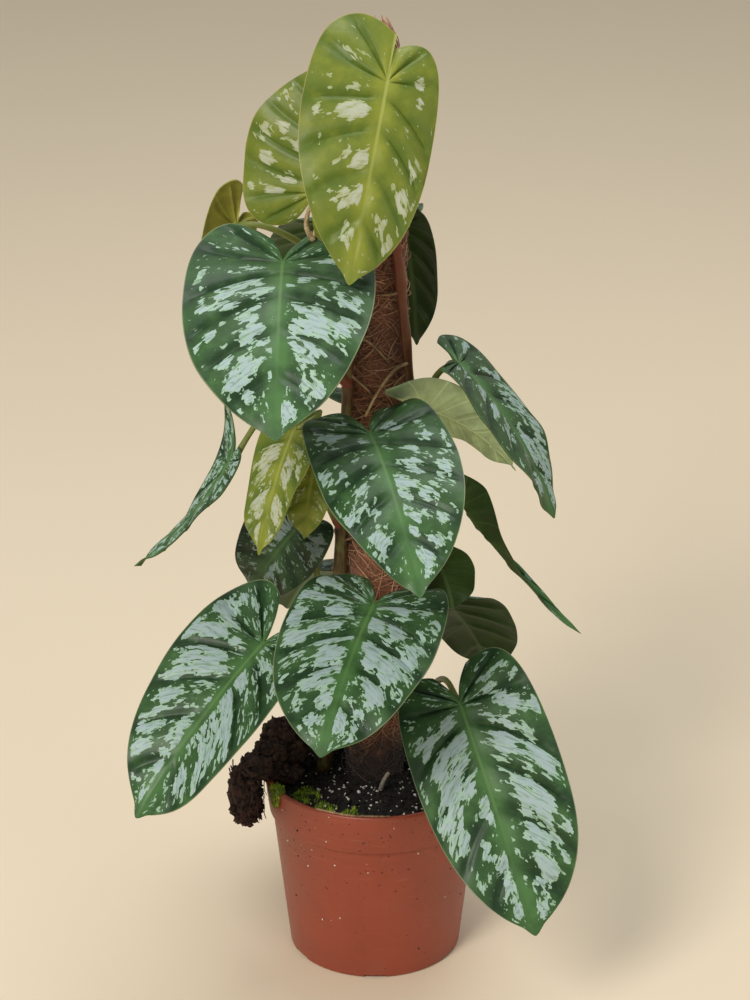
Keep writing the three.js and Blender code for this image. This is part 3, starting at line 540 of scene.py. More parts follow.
def fibrous_stem(name, bark, green, red):
    """Living stem skin: smooth and green on petioles, corky orange-brown with lengthwise cracks on old stems."""
    material, tree, shader = start_material(name)
    tone = attribute(tree, "tone", "Fac")
    place = object_place(tree)
    stretched = add_node(tree, "ShaderNodeMapping", Vector=place)
    stretched.inputs["Scale"].default_value = (0.9, 0.9, 0.12)
    cracks = noise_of(tree, stretched.outputs[0], 1.0, 4.0, 0.65)
    patches = noise_of(tree, place, 0.09, 3.0, 0.5)
    old = blend(tree, ramp(tree, cracks, 0.35, 0.7), [c * 0.35 for c in bark[:3]] + [1.0], list(bark))
    old = blend(tree, maths(tree, "MULTIPLY", ramp(tree, patches, 0.5, 0.75), 0.55), old, list(green))
    flushed = blend(tree, ramp(tree, tone, 0.5, 0.72), list(red), list(green))
    skin = blend(tree, ramp(tree, tone, 0.2, 0.45), old, flushed)
    tree.links.new(skin, shader.inputs["Base Color"])
    shader.inputs["Roughness"].default_value = 0.42
    shader.inputs["IOR"].default_value = 1.42
    bump(tree, shader, cracks, 0.35, 0.7)
    return material


def coconut_fibre(name, dark, light):
    """Coconut husk fibre: stiff, dull, red-brown, each strand its own shade."""
    material, tree, shader = start_material(name)
    tone = attribute(tree, "tone", "Fac")
    place = object_place(tree)
    strand = add_node(tree, "ShaderNodeMapping", Vector=place)
    strand.inputs["Rotation"].default_value = (0.5, 0.3, 0.0)
    strand.inputs["Scale"].default_value = (1.6, 1.6, 0.22)
    streak = noise_of(tree, strand.outputs[0], 1.0, 5.0, 0.7, 0.8)
    shade = maths(tree, "MULTIPLY_ADD", maths(tree, "SUBTRACT", streak, 0.5), 0.7, tone, clamp=True)
    middle = [lerp(a, b, 0.45) * f for a, b, f in zip(dark[:3], light[:3], (1.12, 0.82, 0.7))] + [1.0]
    skin = blend(tree, ramp(tree, shade, 0.05, 0.5), list(dark), middle)
    skin = blend(tree, ramp(tree, shade, 0.55, 1.0), skin, list(light))
    # The sleeve is darker towards its foot, near the soil
    height = add_node(tree, "ShaderNodeSeparateXYZ", Vector=place).outputs[2]
    height = maths(tree, "MULTIPLY_ADD", noise_of(tree, place, 0.12, 3.0, 0.6), 26.0, height)
    darker_foot = maths(tree, "MULTIPLY", ramp(tree, height, 152.0, 128.0), 0.9)
    tree.links.new(blend(tree, darker_foot, skin, linear("#140d09")), shader.inputs["Base Color"])
    shader.inputs["Roughness"].default_value = 0.85
    shader.inputs["Sheen Weight"].default_value = 0.2
    bump(tree, shader, streak, 0.5, 0.9)
    return material


def split_wood(name, light_hex, dark_hex):
    """Turned softwood: dull, with lengthwise grain about 1 mm apart."""
    material, tree, shader = start_material(name)
    grain = add_node(tree, "ShaderNodeMapping", Vector=object_place(tree))
    grain.inputs["Scale"].default_value = (1.1, 1.1, 0.05)
    lines = noise_of(tree, grain.outputs[0], 1.0, 4.0, 0.6, 0.3)
    skin = blend(tree, ramp(tree, lines, 0.35, 0.68), linear(light_hex), linear(dark_hex))
    tree.links.new(skin, shader.inputs["Base Color"])
    shader.inputs["Roughness"].default_value = 0.75
    bump(tree, shader, lines, 0.25, 0.7)
    return material


def moulded_plastic(name, clay):
    """Injection-moulded polypropylene: satin clay colour, fine scuffs round it and crumbs of dried soil."""
    material, tree, shader = start_material(name)
    place = object_place(tree)
    cloud = noise_of(tree, place, 0.03, 3.0, 0.5)
    skin = blend(tree, ramp(tree, cloud, 0.3, 0.7), [c * 0.86 for c in clay[:3]] + [1.0], list(clay))
    # Scuffs run round the pot, a few tenths of a millimetre wide
    round_it = add_node(tree, "ShaderNodeMapping", Vector=place)
    round_it.inputs["Scale"].default_value = (0.05, 0.05, 1.4)
    round_it.inputs["Rotation"].default_value = (0.12, -0.08, 0.0)
    scuff = noise_of(tree, round_it.outputs[0], 1.0, 3.0, 0.6, 0.5)
    scuffed = maths(tree, "MULTIPLY", ramp(tree, scuff, 0.6, 0.7), 0.3)
    skin = blend(tree, scuffed, skin, [min(1, c * 1.5 + 0.05) for c in clay[:3]] + [1.0])
    # Dried soil: dark specks about a millimetre across, more of them under the rim
    speck = noise_of(tree, place, 0.42, 4.0, 0.65)
    height = add_node(tree, "ShaderNodeSeparateXYZ", Vector=place).outputs[2]
    more = maths(tree, "MULTIPLY", ramp(tree, height, 20.0, 100.0), 0.035)
    dirt = ramp(tree, maths(tree, "ADD", speck, more), 0.675, 0.705)
    skin = blend(tree, maths(tree, "MULTIPLY", dirt, 0.85), skin, linear("#3a1c12"))
    film = maths(tree, "MULTIPLY", ramp(tree, noise_of(tree, place, 0.07, 5.0, 0.7), 0.55, 0.75), 0.22)
    skin = blend(tree, film, skin, linear("#7c5a48"))
    tree.links.new(skin, shader.inputs["Base Color"])
    rough = maths(tree, "MULTIPLY_ADD", ramp(tree, cloud, 0.3, 0.7), 0.08, 0.4)
    rough = maths(tree, "ADD", rough, maths(tree, "MULTIPLY", dirt, 0.4), clamp=True)
    tree.links.new(rough, shader.inputs["Roughness"])
    shader.inputs["IOR"].default_value = 1.49
    grain = noise_of(tree, place, 2.2, 2.0, 0.5)
    bump(tree, shader, maths(tree, "MULTIPLY_ADD", dirt, 3.0, grain), 0.05, 0.6)
    return material


def crumbly(name, dark_hex, light_hex, grain_mm, roughness=0.95, depth=0.5):
    """Loose dull matter, such as peat, bark or moss, mottled at the size of its grains."""
    material, tree, shader = start_material(name)
    place = object_place(tree)
    grain = noise_of(tree, place, 1.0 / grain_mm, 5.0, 0.68)
    broad = noise_of(tree, place, 0.2 / grain_mm, 3.0, 0.5)
    mixed = maths(tree, "MULTIPLY_ADD", broad, 0.5, maths(tree, "MULTIPLY", grain, 0.6))
    skin = blend(tree, ramp(tree, mixed, 0.4, 0.72), linear(dark_hex), linear(light_hex))
    tree.links.new(skin, shader.inputs["Base Color"])
    shader.inputs["Roughness"].default_value = roughness
    bump(tree, shader, grain, depth, 0.9)
    return material


# Shapes
TEMPLATES = {}


def tube_template(sides, steps):
    """A closed cylinder of unit radius and height, with a ring of points at each step."""
    if (sides, steps) not in TEMPLATES:
        bm = bmesh.new()
        bmesh.ops.create_cone(bm, cap_ends=True, segments=sides, radius1=1, radius2=1, depth=1)
        upright = [e for e in bm.edges if abs(e.verts[0].co.z - e.verts[1].co.z) > 0.5]
        if steps > 1:
            bmesh.ops.subdivide_edges(bm, edges=upright, cuts=steps - 1, use_grid_fill=True)
        mesh = bpy.data.meshes.new("tube_template")
        bm.to_mesh(mesh)
        bm.free()
        TEMPLATES[(sides, steps)] = mesh
    return TEMPLATES[(sides, steps)]


def frames_along(points):
    """Each point with a normal and a binormal, turned as little as possible from one point to the next."""
    last = len(points) - 1
    frames = []
    normal = None
    for i, point in enumerate(points):
        tangent = (points[min(i + 1, last)] - points[max(i - 1, 0)]).normalized()
        if normal is None:
            normal = tangent.orthogonal()
        normal = (normal - tangent * normal.dot(tangent)).normalized()
        frames.append((point, normal, tangent.cross(normal)))
    return frames


def add_tube(bm, points, radii, sides, tone=0.5):
    """A closed tube along points. radii and tone are each one number, or one for each point."""
    steps = len(points) - 1
    radii = radii if isinstance(radii, (list, tuple)) else [radii] * (steps + 1)
    tones = tone if isinstance(tone, (list, tuple)) else [tone] * (steps + 1)
    first = len(bm.verts)
    bm.from_mesh(tube_template(sides, steps))
    bm.verts.ensure_lookup_table()
    layer = bm.verts.layers.float.get("tone") or bm.verts.layers.float.new("tone")
    bm.verts.ensure_lookup_table()
    rings = frames_along(points)
    for vert in bm.verts[first:]:
        step = round((vert.co.z + 0.5) * steps)
        point, normal, binormal = rings[step]
        vert.co = point + (normal * vert.co.x + binormal * vert.co.y) * radii[step]
        vert[layer] = tones[step]


def add_lump(bm, at, size, turn, detail, tone=0.5, rough=0.25, seed=0.0):
    """A closed uneven lump. turn is in radians about a slanted axis."""
    layer = bm.verts.layers.float.get("tone") or bm.verts.layers.float.new("tone")
    made = bmesh.ops.create_icosphere(bm, subdivisions=detail, radius=1)
    spin = Matrix.Rotation(turn, 3, Vector((0.3, 0.5, 0.8)).normalized())
    for vert in made["verts"]:
        direction = vert.co.copy()
        grown = 1 + rough * 2 * noise.noise(direction * 1.7 + Vector((seed, at[0], at[1])))
        shaped = Vector((direction.x * size[0], direction.y * size[1], direction.z * size[2])) * grown
        vert.co = Vector(at) + spin @ shaped
        vert[layer] = tone


def bezier(a, b, c, d, steps):
    return [
        Vector([cubic(a[k], b[k], c[k], d[k], i / steps) for k in range(3)]) for i in range(steps + 1)
    ]


def add_piece(name, bm, materials, nodes=(), sharp=None):
    """Turns a finished shape in millimetres into a piece that rides on the plant."""
    for face in bm.faces:
        face.smooth = True
    if sharp is not None:
        for edge in bm.edges:
            if len(edge.link_faces) == 2 and edge.calc_face_angle(0) > math.radians(sharp):
                edge.smooth = False
    bmesh.ops.scale(bm, vec=(MM, MM, MM), verts=bm.verts)
    mesh = bpy.data.meshes.new(name)
    bm.to_mesh(mesh)
    bm.free()
    for material in materials:
        mesh.materials.append(material)
    piece = bpy.data.objects.new(name, mesh)
    bpy.context.scene.collection.objects.link(piece)
    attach(piece, "root")
    if nodes:
        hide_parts(*nodes)
    return piece


# Leaf blades: the rows where the midrib starts and the blade is widest, the waves along a margin, and the depth in
# millimetres of the midrib's groove above and below, which fades towards the tip
BASAL = 0.3
WIDEST = 0.42
WAVES = 2.5
GROOVE = 0.45
GROOVE_BELOW = 0.1
BLADE = {"rows": 96, "columns": 18}


def axes_of(leaf):
    """A leaf's own axes at the junction and the length of its midrib, as in the solids."""
    bend = math.radians(leaf["bend"])
    junction = Vector(leaf["junction"])
    chord = Vector(leaf["tip"]) - junction
    reach = chord.length * bend / 2 / math.sin(bend / 2)
    ahead = chord.normalized()
    up = Vector(leaf["faces"])
    up = (up - ahead * up.dot(ahead)).normalized()
    along = ahead * math.cos(bend / 2) + up * math.sin(bend / 2)
    out = up * math.cos(bend / 2) - ahead * math.sin(bend / 2)
    return junction, along, out, along.cross(out), reach


def flat_blade(leaf, reach, side, row, column):
    """The flat blade: row runs from the back of the lobe to the tip, and column from the midrib to the margin."""
    half, lobe, full = (leaf[key][0 if side > 0 else 1] for key in ("half", "lobe", "full"))
    back = row / WIDEST
    fore = (row - WIDEST) / (1 - WIDEST)
    widest = (0.16 + 0.14 * full) * reach
    if row < WIDEST:
        margin_x = half * cubic(leaf["open"], 0.74, 1, 1, back)
        margin_y = cubic(-leaf["sinus"] * lobe, -1.2 * lobe, -0.6 * lobe, widest, back)
    else:
        margin_x = half * cubic(1, 1, 0.62 + 0.16 * full, 0.012, fore)
        margin_y = reach * cubic(0.16 + 0.14 * full, 0.5 + 0.12 * full, 0.82 + 0.06 * full, 1, fore)
    basal = min(1, row / BASAL)
    if row < BASAL:
        start = 1.2 * (basal - 1)
    else:
        start = lerp(0.985, 1, smooth(0.9, 1, row)) * reach * ((row - BASAL) / (1 - BASAL)) ** 1.5
    bow_x = margin_x * (0.1 + 0.45 * basal)
    bow_y = start + (0.45 - 0.15 * basal) * (margin_y - start)
    u = 1 - column
    x = 2 * u * column * bow_x + column * column * margin_x
    y = u * u * start + 2 * u * column * bow_y + column * column * margin_y
    return x, y


def vein_relief(reach, row, column, pairs, depth):
    """Height of the quilting: a groove on each side vein and a swelling between two."""
    share = (row * pairs) % 1
    near = min(share, 1 - share) * 2
    groove = -math.exp(-((near / 0.16) ** 2)) + 0.55 * near
    reached = smooth(0.0, 0.22, column) * (1 - smooth(0.8, 1.0, column)) * (1 - smooth(0.86, 1.0, row))
    return groove * depth * reached * min(1, reach / 100) * min(1, row / 0.12)


def blade_point(leaf, reach, side, row, column, depth, relief, groove):
    """A point of the blade in its own frame: X towards the viewer's left of a hanging leaf, Y along, Z out."""
    x, y = flat_blade(leaf, reach, side, row, column)
    half, lobe, fold = (leaf[key][0 if side > 0 else 1] for key in ("half", "lobe", "fold"))
    fold = math.radians(fold)
    wave = leaf["wave"] * column ** 2 * math.sin(2 * math.pi * WAVES * row + 2 * side) * (1 - smooth(0.95, 1, row))
    high = math.tan(fold) * (math.hypot(x, 6) - 6) - leaf["curl"] * (x / half) ** 2 + wave - depth
    high += relief - groove * math.exp(-((x / 1.7) ** 2)) * (1 - row)
    ripple = noise.noise(Vector((row * 8 + leaf["bend"], side * 3, reach)))
    high += 1.6 * ripple * column ** 3 * min(1, reach / 100) * (1 - smooth(0.9, 1, row))
    y += 0.02 * reach * smooth(0.96, 1, row)
    wide = side * x * math.cos(fold)
    turn = math.radians(leaf["twist"] * max(0, y) / reach)
    c, s = math.cos(turn), math.sin(turn)
    wide, high = wide * c + high * s, high * c - wide * s
    curve = math.radians(leaf["bend"] if y > 0 else leaf["lobe_bend"]) / (reach if y > 0 else lobe)
    bent = curve * abs(y)
    sign = 1 if y > 0 else -1
    ahead = sign * (math.sin(bent) / curve + high * math.sin(bent))
    return Vector((wide, ahead, high * math.cos(bent) - (1 - math.cos(bent)) / curve))


def silver_at(name, column, row):
    """How silvered a place of the blade is, with column positive on the viewer's left."""
    plan = SILVER[name]
    most = 0
    for at, on, reach, across in plan["patches"]:
        away = ((column - at) / reach) ** 2 + ((row - on) / across) ** 2
        most = max(most, PATCH_STRENGTH * math.exp(-(away ** 2.4)))
    return plan["amount"] + most


def blade_shape(name, leaf, seed, settings):
    """A closed blade: a grid of rows and columns, its copy below it, and the margin between them."""
    junction, along, out, across, reach = axes_of(leaf)
    small = reach < 60
    rows = BLADE["rows"] // (2 if small else 1)
    columns = BLADE["columns"] // (2 if small else 1)
    bm = bmesh.new()
    bmesh.ops.create_grid(bm, x_segments=2 * columns, y_segments=rows, size=1)
    made = bmesh.ops.extrude_face_region(bm, geom=bm.faces[:], use_keep_orig=True)
    below = [item for item in made["geom"] if isinstance(item, bmesh.types.BMVert)]
    bmesh.ops.translate(bm, vec=(0, 0, -1), verts=below)
    place = bm.verts.layers.float_vector.new("place")
    flat = bm.verts.layers.float_vector.new("flat")
    silver = bm.verts.layers.float.new("silver")
    uv = bm.loops.layers.uv.new("Blade")
    for face in bm.faces:
        face.material_index = 0 if all(vert.co.z > -0.5 for vert in face.verts) else 1
        for loop in face.loops:
            loop[uv].uv = ((loop.vert.co.x + 1) / 2, (loop.vert.co.y + 1) / 2)
    for vert in bm.verts:
        side = -1 if vert.co.x < 0 else 1
        column = abs(vert.co.x)
        row = (vert.co.y + 1) / 2
        x, y = flat_blade(leaf, reach, side, row, column)
        vert[place] = (side * column, row, seed)
        # The third value of flat is the blade's painted shade
        vert[flat] = (side * x, max(0, y / reach), SILVER[name].get("painted_shade", 0))
        vert[silver] = silver_at(name, side * column, row)
        relief = vein_relief(reach, row, column, settings.vein_pairs, settings.relief / MM)
        if vert.co.z < -0.5:
            margin = settings.margin / MM
            depth = margin + 1.3 * (1 - row) * math.exp(-((x / 1.5) ** 2)) * (1 - smooth(0.3, 1, column))
            point = blade_point(leaf, reach, side, row, column, depth, relief, GROOVE_BELOW)
        else:
            point = blade_point(leaf, reach, side, row, column, 0, relief, GROOVE)
        vert.co = junction + across * point.x + along * point.y + out * point.z
    bmesh.ops.recalc_face_normals(bm, faces=bm.faces)
    return bm


# Stems and petioles. Each stem has rings at these heights, besides those at its own leaves
EXTRA_RINGS = [110, 150, 195, 228, 270, 312, 385, 405]


def climb_at(stem, z):
    """The middle of a climbing stem at a height."""
    around = math.radians(stem["angle"] + stem["turn"] * (z - 300))
    sprawl = STEM["sprawl"] * math.exp(-max(0, z - SOIL["at_wall"]) / 30)
    reach = POLE["radius"] + POLE["relief"] + STEM["foot"] + 0.6 + sprawl
    return Vector((reach * math.cos(around), reach * math.sin(around), z))


def petiole_points(leaf, stem, steps):
    """A petiole leaves its stem outwards and upwards, and comes to the blade from behind and below."""
    junction, along, out, _, _ = axes_of(leaf)
    foot = climb_at(stem, leaf["height"])
    end = junction - out * 2.6 - along * 0.5
    reach = (end - foot).length
    leave = Vector((foot.x, foot.y, 0)).normalized() * 0.3 * reach + Vector((0, 0, 0.34 * reach))
    arrive = (along * 0.78 + out * 0.62) * -0.34 * reach
    arrive.z += leaf["droop"] * reach
    return bezier(foot, foot + leave, end + arrive, end, steps)


def stem_shape(name, settings):
    """A climbing stem with a ring at each leaf, and the petioles that leave it."""
    stem = STEMS[name]
    bm = bmesh.new()
    foot = SOIL["at_wall"] - STEM["buried"]
    steps = 150
    heights = [leaf["height"] for leaf in LEAVES.values() if leaf["stem"] == name]
    rings = heights + EXTRA_RINGS
    points, radii, tones = [], [], []
    for i in range(steps + 1):
        z = lerp(foot, stem["top"], i / steps)
        point = climb_at(stem, z)
        sway = Vector((noise.noise(Vector((z / 26, 1, foot))), noise.noise(Vector((z / 26, 7, 3))), 0)) * 0.5
        radius = lerp(STEM["foot"], STEM["top"], i / steps) if i < steps - 3 else lerp(2.4, 0.8, (i - steps + 3) / 3)
        ring = max(math.exp(-(((z - height + 3) / 1.5) ** 2)) for height in rings)
        radius *= (1 - 0.15 * smooth(240, 340, z)) * (0.97 + 0.05 * math.sin(z / 5))
        radii.append(radius + settings.ring / MM * ring)
        points.append(point + sway)
        tones.append(min(0.48, 0.05 + 0.4 * smooth(150, 470, z)))
    add_tube(bm, points, radii, 20, tones)
    for leaf in LEAVES.values():
        if leaf["stem"] != name:
            continue
        whole = {**PLAIN, **leaf}
        line = petiole_points(whole, stem, 40)
        end = line[-1] + axes_of(whole)[2] * 1.2
        line = line[:-1] + [end]
        radii = []
        for i in range(41):
            share = i / 40
            radius = lerp(PETIOLE["foot"], PETIOLE["tip"], share ** 0.7)
            radius += 0.9 * math.exp(-((share / 0.09) ** 2)) + 0.35 * math.exp(-(((share - 0.95) / 0.05) ** 2))
            radii.append(radius)
        tones = [lerp(0.5, 0.95, smooth(0.0, 0.45, i / 40)) for i in range(41)]
        add_tube(bm, line, radii, 14, tones)
    return bm


# Pole
def sleeve_radius(around, z):
    wave = uneven(3 * around + z * 0.11, z * 0.035 - 2 * around) * 0.6
    return POLE["radius"] + wave + 1.1 * noise.noise(Vector((math.cos(around) * 3, math.sin(around) * 3, z * 0.12)))


def sleeve_shape():
    """The coir sleeve: a closed uneven shell round the stake."""
    bm = bmesh.new()
    layer = bm.verts.layers.float.new("tone")
    bore = STAKE["radius"] + 0.3
    corners = [(bore, POLE["foot"]), (POLE["radius"], POLE["foot"])]
    corners += [(POLE["radius"], lerp(POLE["foot"], POLE["top"] - 3, i / 130)) for i in range(1, 131)]
    corners += [(POLE["radius"] - 3, POLE["top"]), (bore, POLE["top"]), (bore, POLE["foot"])]
    verts = [bm.verts.new((radius, 0, z)) for radius, z in corners]
    edges = [bm.edges.new(pair) for pair in zip(verts, verts[1:])]
    bmesh.ops.spin(bm, geom=verts + edges, cent=(0, 0, 0), axis=(0, 0, 1), angle=2 * math.pi, steps=64, use_merge=True)
    bmesh.ops.remove_doubles(bm, verts=bm.verts, dist=0.001)
    for vert in bm.verts:
        reach = math.hypot(vert.co.x, vert.co.y)
        # Partly painted shade: the sleeve under the loose fibres is toned dark, as fibre in the shaded depth
        vert[layer] = 0.2
        if reach > POLE["radius"] - 0.1:
            grown = sleeve_radius(math.atan2(vert.co.y, vert.co.x), vert.co.z) / reach
            vert.co.x *= grown
            vert.co.y *= grown
    bmesh.ops.recalc_face_normals(bm, faces=bm.faces)
    return bm


def fibre_shape(settings):
    """Loose coconut fibres over the sleeve, and the tuft that stands round the stake's top."""
    chance = random.Random(11)
    bm = bmesh.new()
    radius = settings.fibre / MM
    for _ in range(settings.fibres):
        around = chance.uniform(-math.pi, math.pi)
        z = chance.uniform(POLE["foot"] + 16, POLE["top"] - 2)
        slope = chance.gauss(0.0, 1.0)
        reach = chance.uniform(9, 34)
        turn = reach / POLE["radius"] * math.cos(slope) * chance.choice((-1, 1))
        climb = reach * math.sin(slope)
        lift = chance.uniform(0.1, 0.9) if chance.random() < 0.85 else chance.uniform(1.0, 3.2)
        bow = chance.uniform(-0.35, 0.35)
        points = []
        for i in range(9):
            t = i / 8
            a = around + turn * t + bow * math.sin(math.pi * t)
            h = min(POLE["top"] + 1, max(POLE["foot"] + 12, z + climb * t + 3 * bow * math.sin(2 * math.pi * t)))
            out = sleeve_radius(a, h) + 0.15 + lift * math.sin(math.pi * t)
            points.append(Vector((out * math.cos(a), out * math.sin(a), h)))
        thick = radius * chance.uniform(0.6, 1.5)
        tone = min(1, max(0, chance.gauss(0.64, 0.24)))
        add_tube(bm, points, [thick * (0.5 + math.sin(math.pi * i / 8) * 0.6) for i in range(9)], 3, tone)
    for _ in range(170):
        around = chance.uniform(-math.pi, math.pi)
        inner = chance.uniform(STAKE["radius"] + 0.3, 13)
        top = chance.uniform(POLE["top"] + 2, POLE["top"] + 19)
        lean = chance.uniform(-4, 4)
        points = []
        for i in range(7):
            t = i / 6
            a = around + 0.5 * t * lean / 4
            out = lerp(inner, STAKE["radius"] + 0.6, t) + 3 * math.sin(math.pi * t)
            points.append(Vector((out * math.cos(a), out * math.sin(a), lerp(POLE["top"] - 1, top, t))))
        add_tube(bm, points, radius * chance.uniform(0.8, 1.5), 3, chance.uniform(0.65, 1.0))
    return bm


def stake_shape():
    """A turned wooden stake with a blunt point and a chamfered top."""
    bm = bmesh.new()
    radius = STAKE["radius"]
    foot, top = STAKE["foot"], STAKE["top"]
    line = [(0, foot), (1.5, foot), (radius, foot + 8), (radius, top - 1), (radius - 1, top), (0, top)]
    verts = [bm.verts.new((x, 0, z)) for x, z in line]
    edges = [bm.edges.new(pair) for pair in zip(verts, verts[1:])]
    bmesh.ops.spin(bm, geom=verts + edges, cent=(0, 0, 0), axis=(0, 0, 1), angle=2 * math.pi, steps=32, use_merge=True)
    bmesh.ops.remove_doubles(bm, verts=bm.verts, dist=0.001)
    bmesh.ops.recalc_face_normals(bm, faces=bm.faces)
    return bm


# Soil
def ground(x, y):
    """Height of the soil's surface."""
    share = max(0, 1 - math.hypot(x, y) / 54)
    rough = SOIL["roughness"] * uneven(x / 9, y / 9)
    fine = 0.9 * noise.noise(Vector((x / 4, y / 4, 2))) + 0.5 * noise.noise(Vector((x / 1.7, y / 1.7, 5)))
    return SOIL["at_wall"] + SOIL["mound"] * share + rough + fine


def soil_shape():
    """Potting soil: a closed body that fills the pot, with a rough surface."""
    bm = bmesh.new()
    floor = FOOT["recess"] + POT["floor"] + 0.3
    band = POT["height"] - POT["band"]
    wall = POT["wall"] + 0.05
    line = [(0, floor), (outer_radius(floor + 2) - wall - 1, floor), (outer_radius(band) - wall - 0.4, band)]
    line += [(lerp(56.4, 0, i / 46), 99) for i in range(47)]
    verts = [bm.verts.new((x, 0, z)) for x, z in line]
    edges = [bm.edges.new(pair) for pair in zip(verts, verts[1:])]
    bmesh.ops.spin(bm, geom=verts + edges, cent=(0, 0, 0), axis=(0, 0, 1), angle=2 * math.pi, steps=120, use_merge=True)
    bmesh.ops.remove_doubles(bm, verts=bm.verts, dist=0.001)
    for vert in bm.verts:
        if vert.co.z > 98.9:
            vert.co.z = ground(vert.co.x, vert.co.y)
    bmesh.ops.recalc_face_normals(bm, faces=bm.faces)
    return bm


def strewn(chance, reach, clear):
    """A place on the soil outside the pole."""
    while True:
        x, y = chance.uniform(-reach, reach), chance.uniform(-reach, reach)
        if clear < math.hypot(x, y) < reach:
            return x, y


def grain_shape(count, sizes, seed, reach, detail=1):
    """Grains strewn on the soil and sunk a little into it."""
    chance = random.Random(seed)
    bm = bmesh.new()
    for _ in range(count):
        x, y = strewn(chance, reach, 15.5)
        size = chance.uniform(*sizes) * chance.uniform(0.6, 1.0)
        box = (size, size * chance.uniform(0.6, 1), size * chance.uniform(0.5, 0.9))
        at = (x, y, ground(x, y) + size * 0.3)
        add_lump(bm, at, box, chance.uniform(0, 6), detail, chance.random(), 0.35, chance.uniform(0, 50))
    return bm


# Pot
def round_corners(line, rounding):
    """A profile with its corners rounded."""
    rounded = [line[0]]
    for before, corner, after in zip(line, line[1:], line[2:]):
        p, q, r = Vector(before), Vector(corner), Vector(after)
        cut = min(rounding, (q - p).length * 0.4, (r - q).length * 0.4)
        a, b = q + (p - q).normalized() * cut, q + (r - q).normalized() * cut
        rounded += [tuple(a), tuple(a * 0.25 + q * 0.5 + b * 0.25), tuple(b)]
    return rounded + [line[-1]]


def pot_shape(settings):
    """A moulded nursery pot: tapered wall, band under the rim, foot ring and hub; holes and notches are cut later"""
    height, rim, base, lip = POT["height"], POT["rim"], POT["base"], POT["lip"]
    band = height - POT["band"]
    bottom = FOOT["recess"] + POT["floor"]
    hub, ring, recess = FOOT["hub"], FOOT["ring"], FOOT["recess"]

    def inside(z):
        return outer_radius(z) - POT["wall"]

    line = [
        (0, 0), (hub, 0), (hub + 1.5, recess), (ring, recess), (ring + 1, 0), (base - 1, 0), (base, 1),
        (outer_radius(band), band), (outer_radius(band) + POT["step"], band + 1.2), (rim, height - 1),
        (rim - 0.8, height), (rim - lip + 0.6, height), (rim - lip, height - 1.2), (inside(band), band),
        (inside(bottom + 1), bottom + 1), (inside(bottom) - 1, bottom), (0, bottom),
    ]
    line = round_corners(line, settings.rounding / MM)
    bm = bmesh.new()
    verts = [bm.verts.new((x, 0, z)) for x, z in line]
    edges = [bm.edges.new(pair) for pair in zip(verts, verts[1:])]
    bmesh.ops.spin(bm, geom=verts + edges, cent=(0, 0, 0), axis=(0, 0, 1), angle=2 * math.pi, steps=144, use_merge=True)
    bmesh.ops.remove_doubles(bm, verts=bm.verts, dist=0.001)
    bmesh.ops.recalc_face_normals(bm, faces=bm.faces)
    return bm


def pot_cutters():
    """The drainage holes and foot notches, as shapes to cut away."""
    bm = bmesh.new()
    between = (FOOT["hub"] + FOOT["ring"]) / 2 + 2
    across = POT["base"] - FOOT["ring"] + 6
    for i in range(FOOT["holes"]):
        turn = Matrix.Rotation((i + 0.5) / FOOT["holes"] * 2 * math.pi, 4, "Z")
        hole = Matrix.Translation((between, 0, FOOT["recess"]))
        bmesh.ops.create_cone(
            bm, cap_ends=True, segments=32, radius1=FOOT["hole_radius"], radius2=FOOT["hole_radius"],
            depth=4 * POT["floor"], matrix=turn @ hole,
        )
        notch = Matrix.Translation(((POT["base"] + FOOT["ring"]) / 2, 0, 0))
        size = Matrix.Diagonal((across, FOOT["notch"], 2 * FOOT["notch_depth"], 1))
        bmesh.ops.create_cube(bm, size=1, matrix=turn @ notch @ size)
    bmesh.ops.scale(bm, vec=(MM, MM, MM), verts=bm.verts)
    mesh = bpy.data.meshes.new("pot_cutters")
    bm.to_mesh(mesh)
    bm.free()
    cutters = bpy.data.objects.new("pot_cutters", mesh)
    bpy.context.scene.collection.objects.link(cutters)
    return cutters


def cut_away(piece, cutters):
    """Cuts the cutters' shape from a piece for good."""
    modifier = piece.modifiers.new("cut", "BOOLEAN")
    modifier.object = cutters
    modifier.solver = "EXACT"
    cut = bpy.data.meshes.new_from_object(piece.evaluated_get(bpy.context.evaluated_depsgraph_get()))
    piece.modifiers.clear()
    piece.data = cut
    bpy.data.objects.remove(cutters)


# Small growth
def aerial_root_shape(settings):
    """Roots that leave the stems beside each leaf and creep round the pole into its fibre."""
    chance = random.Random(5)
    bm = bmesh.new()
    for name, stem in STEMS.items():
        for z in range(128, int(stem["top"]) - 12, 23):
            start = climb_at(stem, z)
            around = math.atan2(start.y, start.x)
            turn = chance.uniform(0.6, 1.5) * chance.choice((-1, 1))
            fall = chance.uniform(-24, 10)
            points = []
            for i in range(15):
                t = i / 14
                a = around + turn * t
                surface = sleeve_radius(a, z) + 0.7 - 2.2 * smooth(0.75, 1, t)
                out = lerp(math.hypot(start.x, start.y), surface, smooth(0, 0.45, t))
                h = z + fall * t + 1.5 * math.sin(5 * t + z)
                points.append(Vector((out * math.cos(a), out * math.sin(a), h)))
            thick = settings.root / MM * chance.uniform(0.7, 1.15)
            add_tube(bm, points, [thick * (1 - 0.45 * i / 14) for i in range(15)], 8, chance.uniform(0.3, 0.9))
    return bm


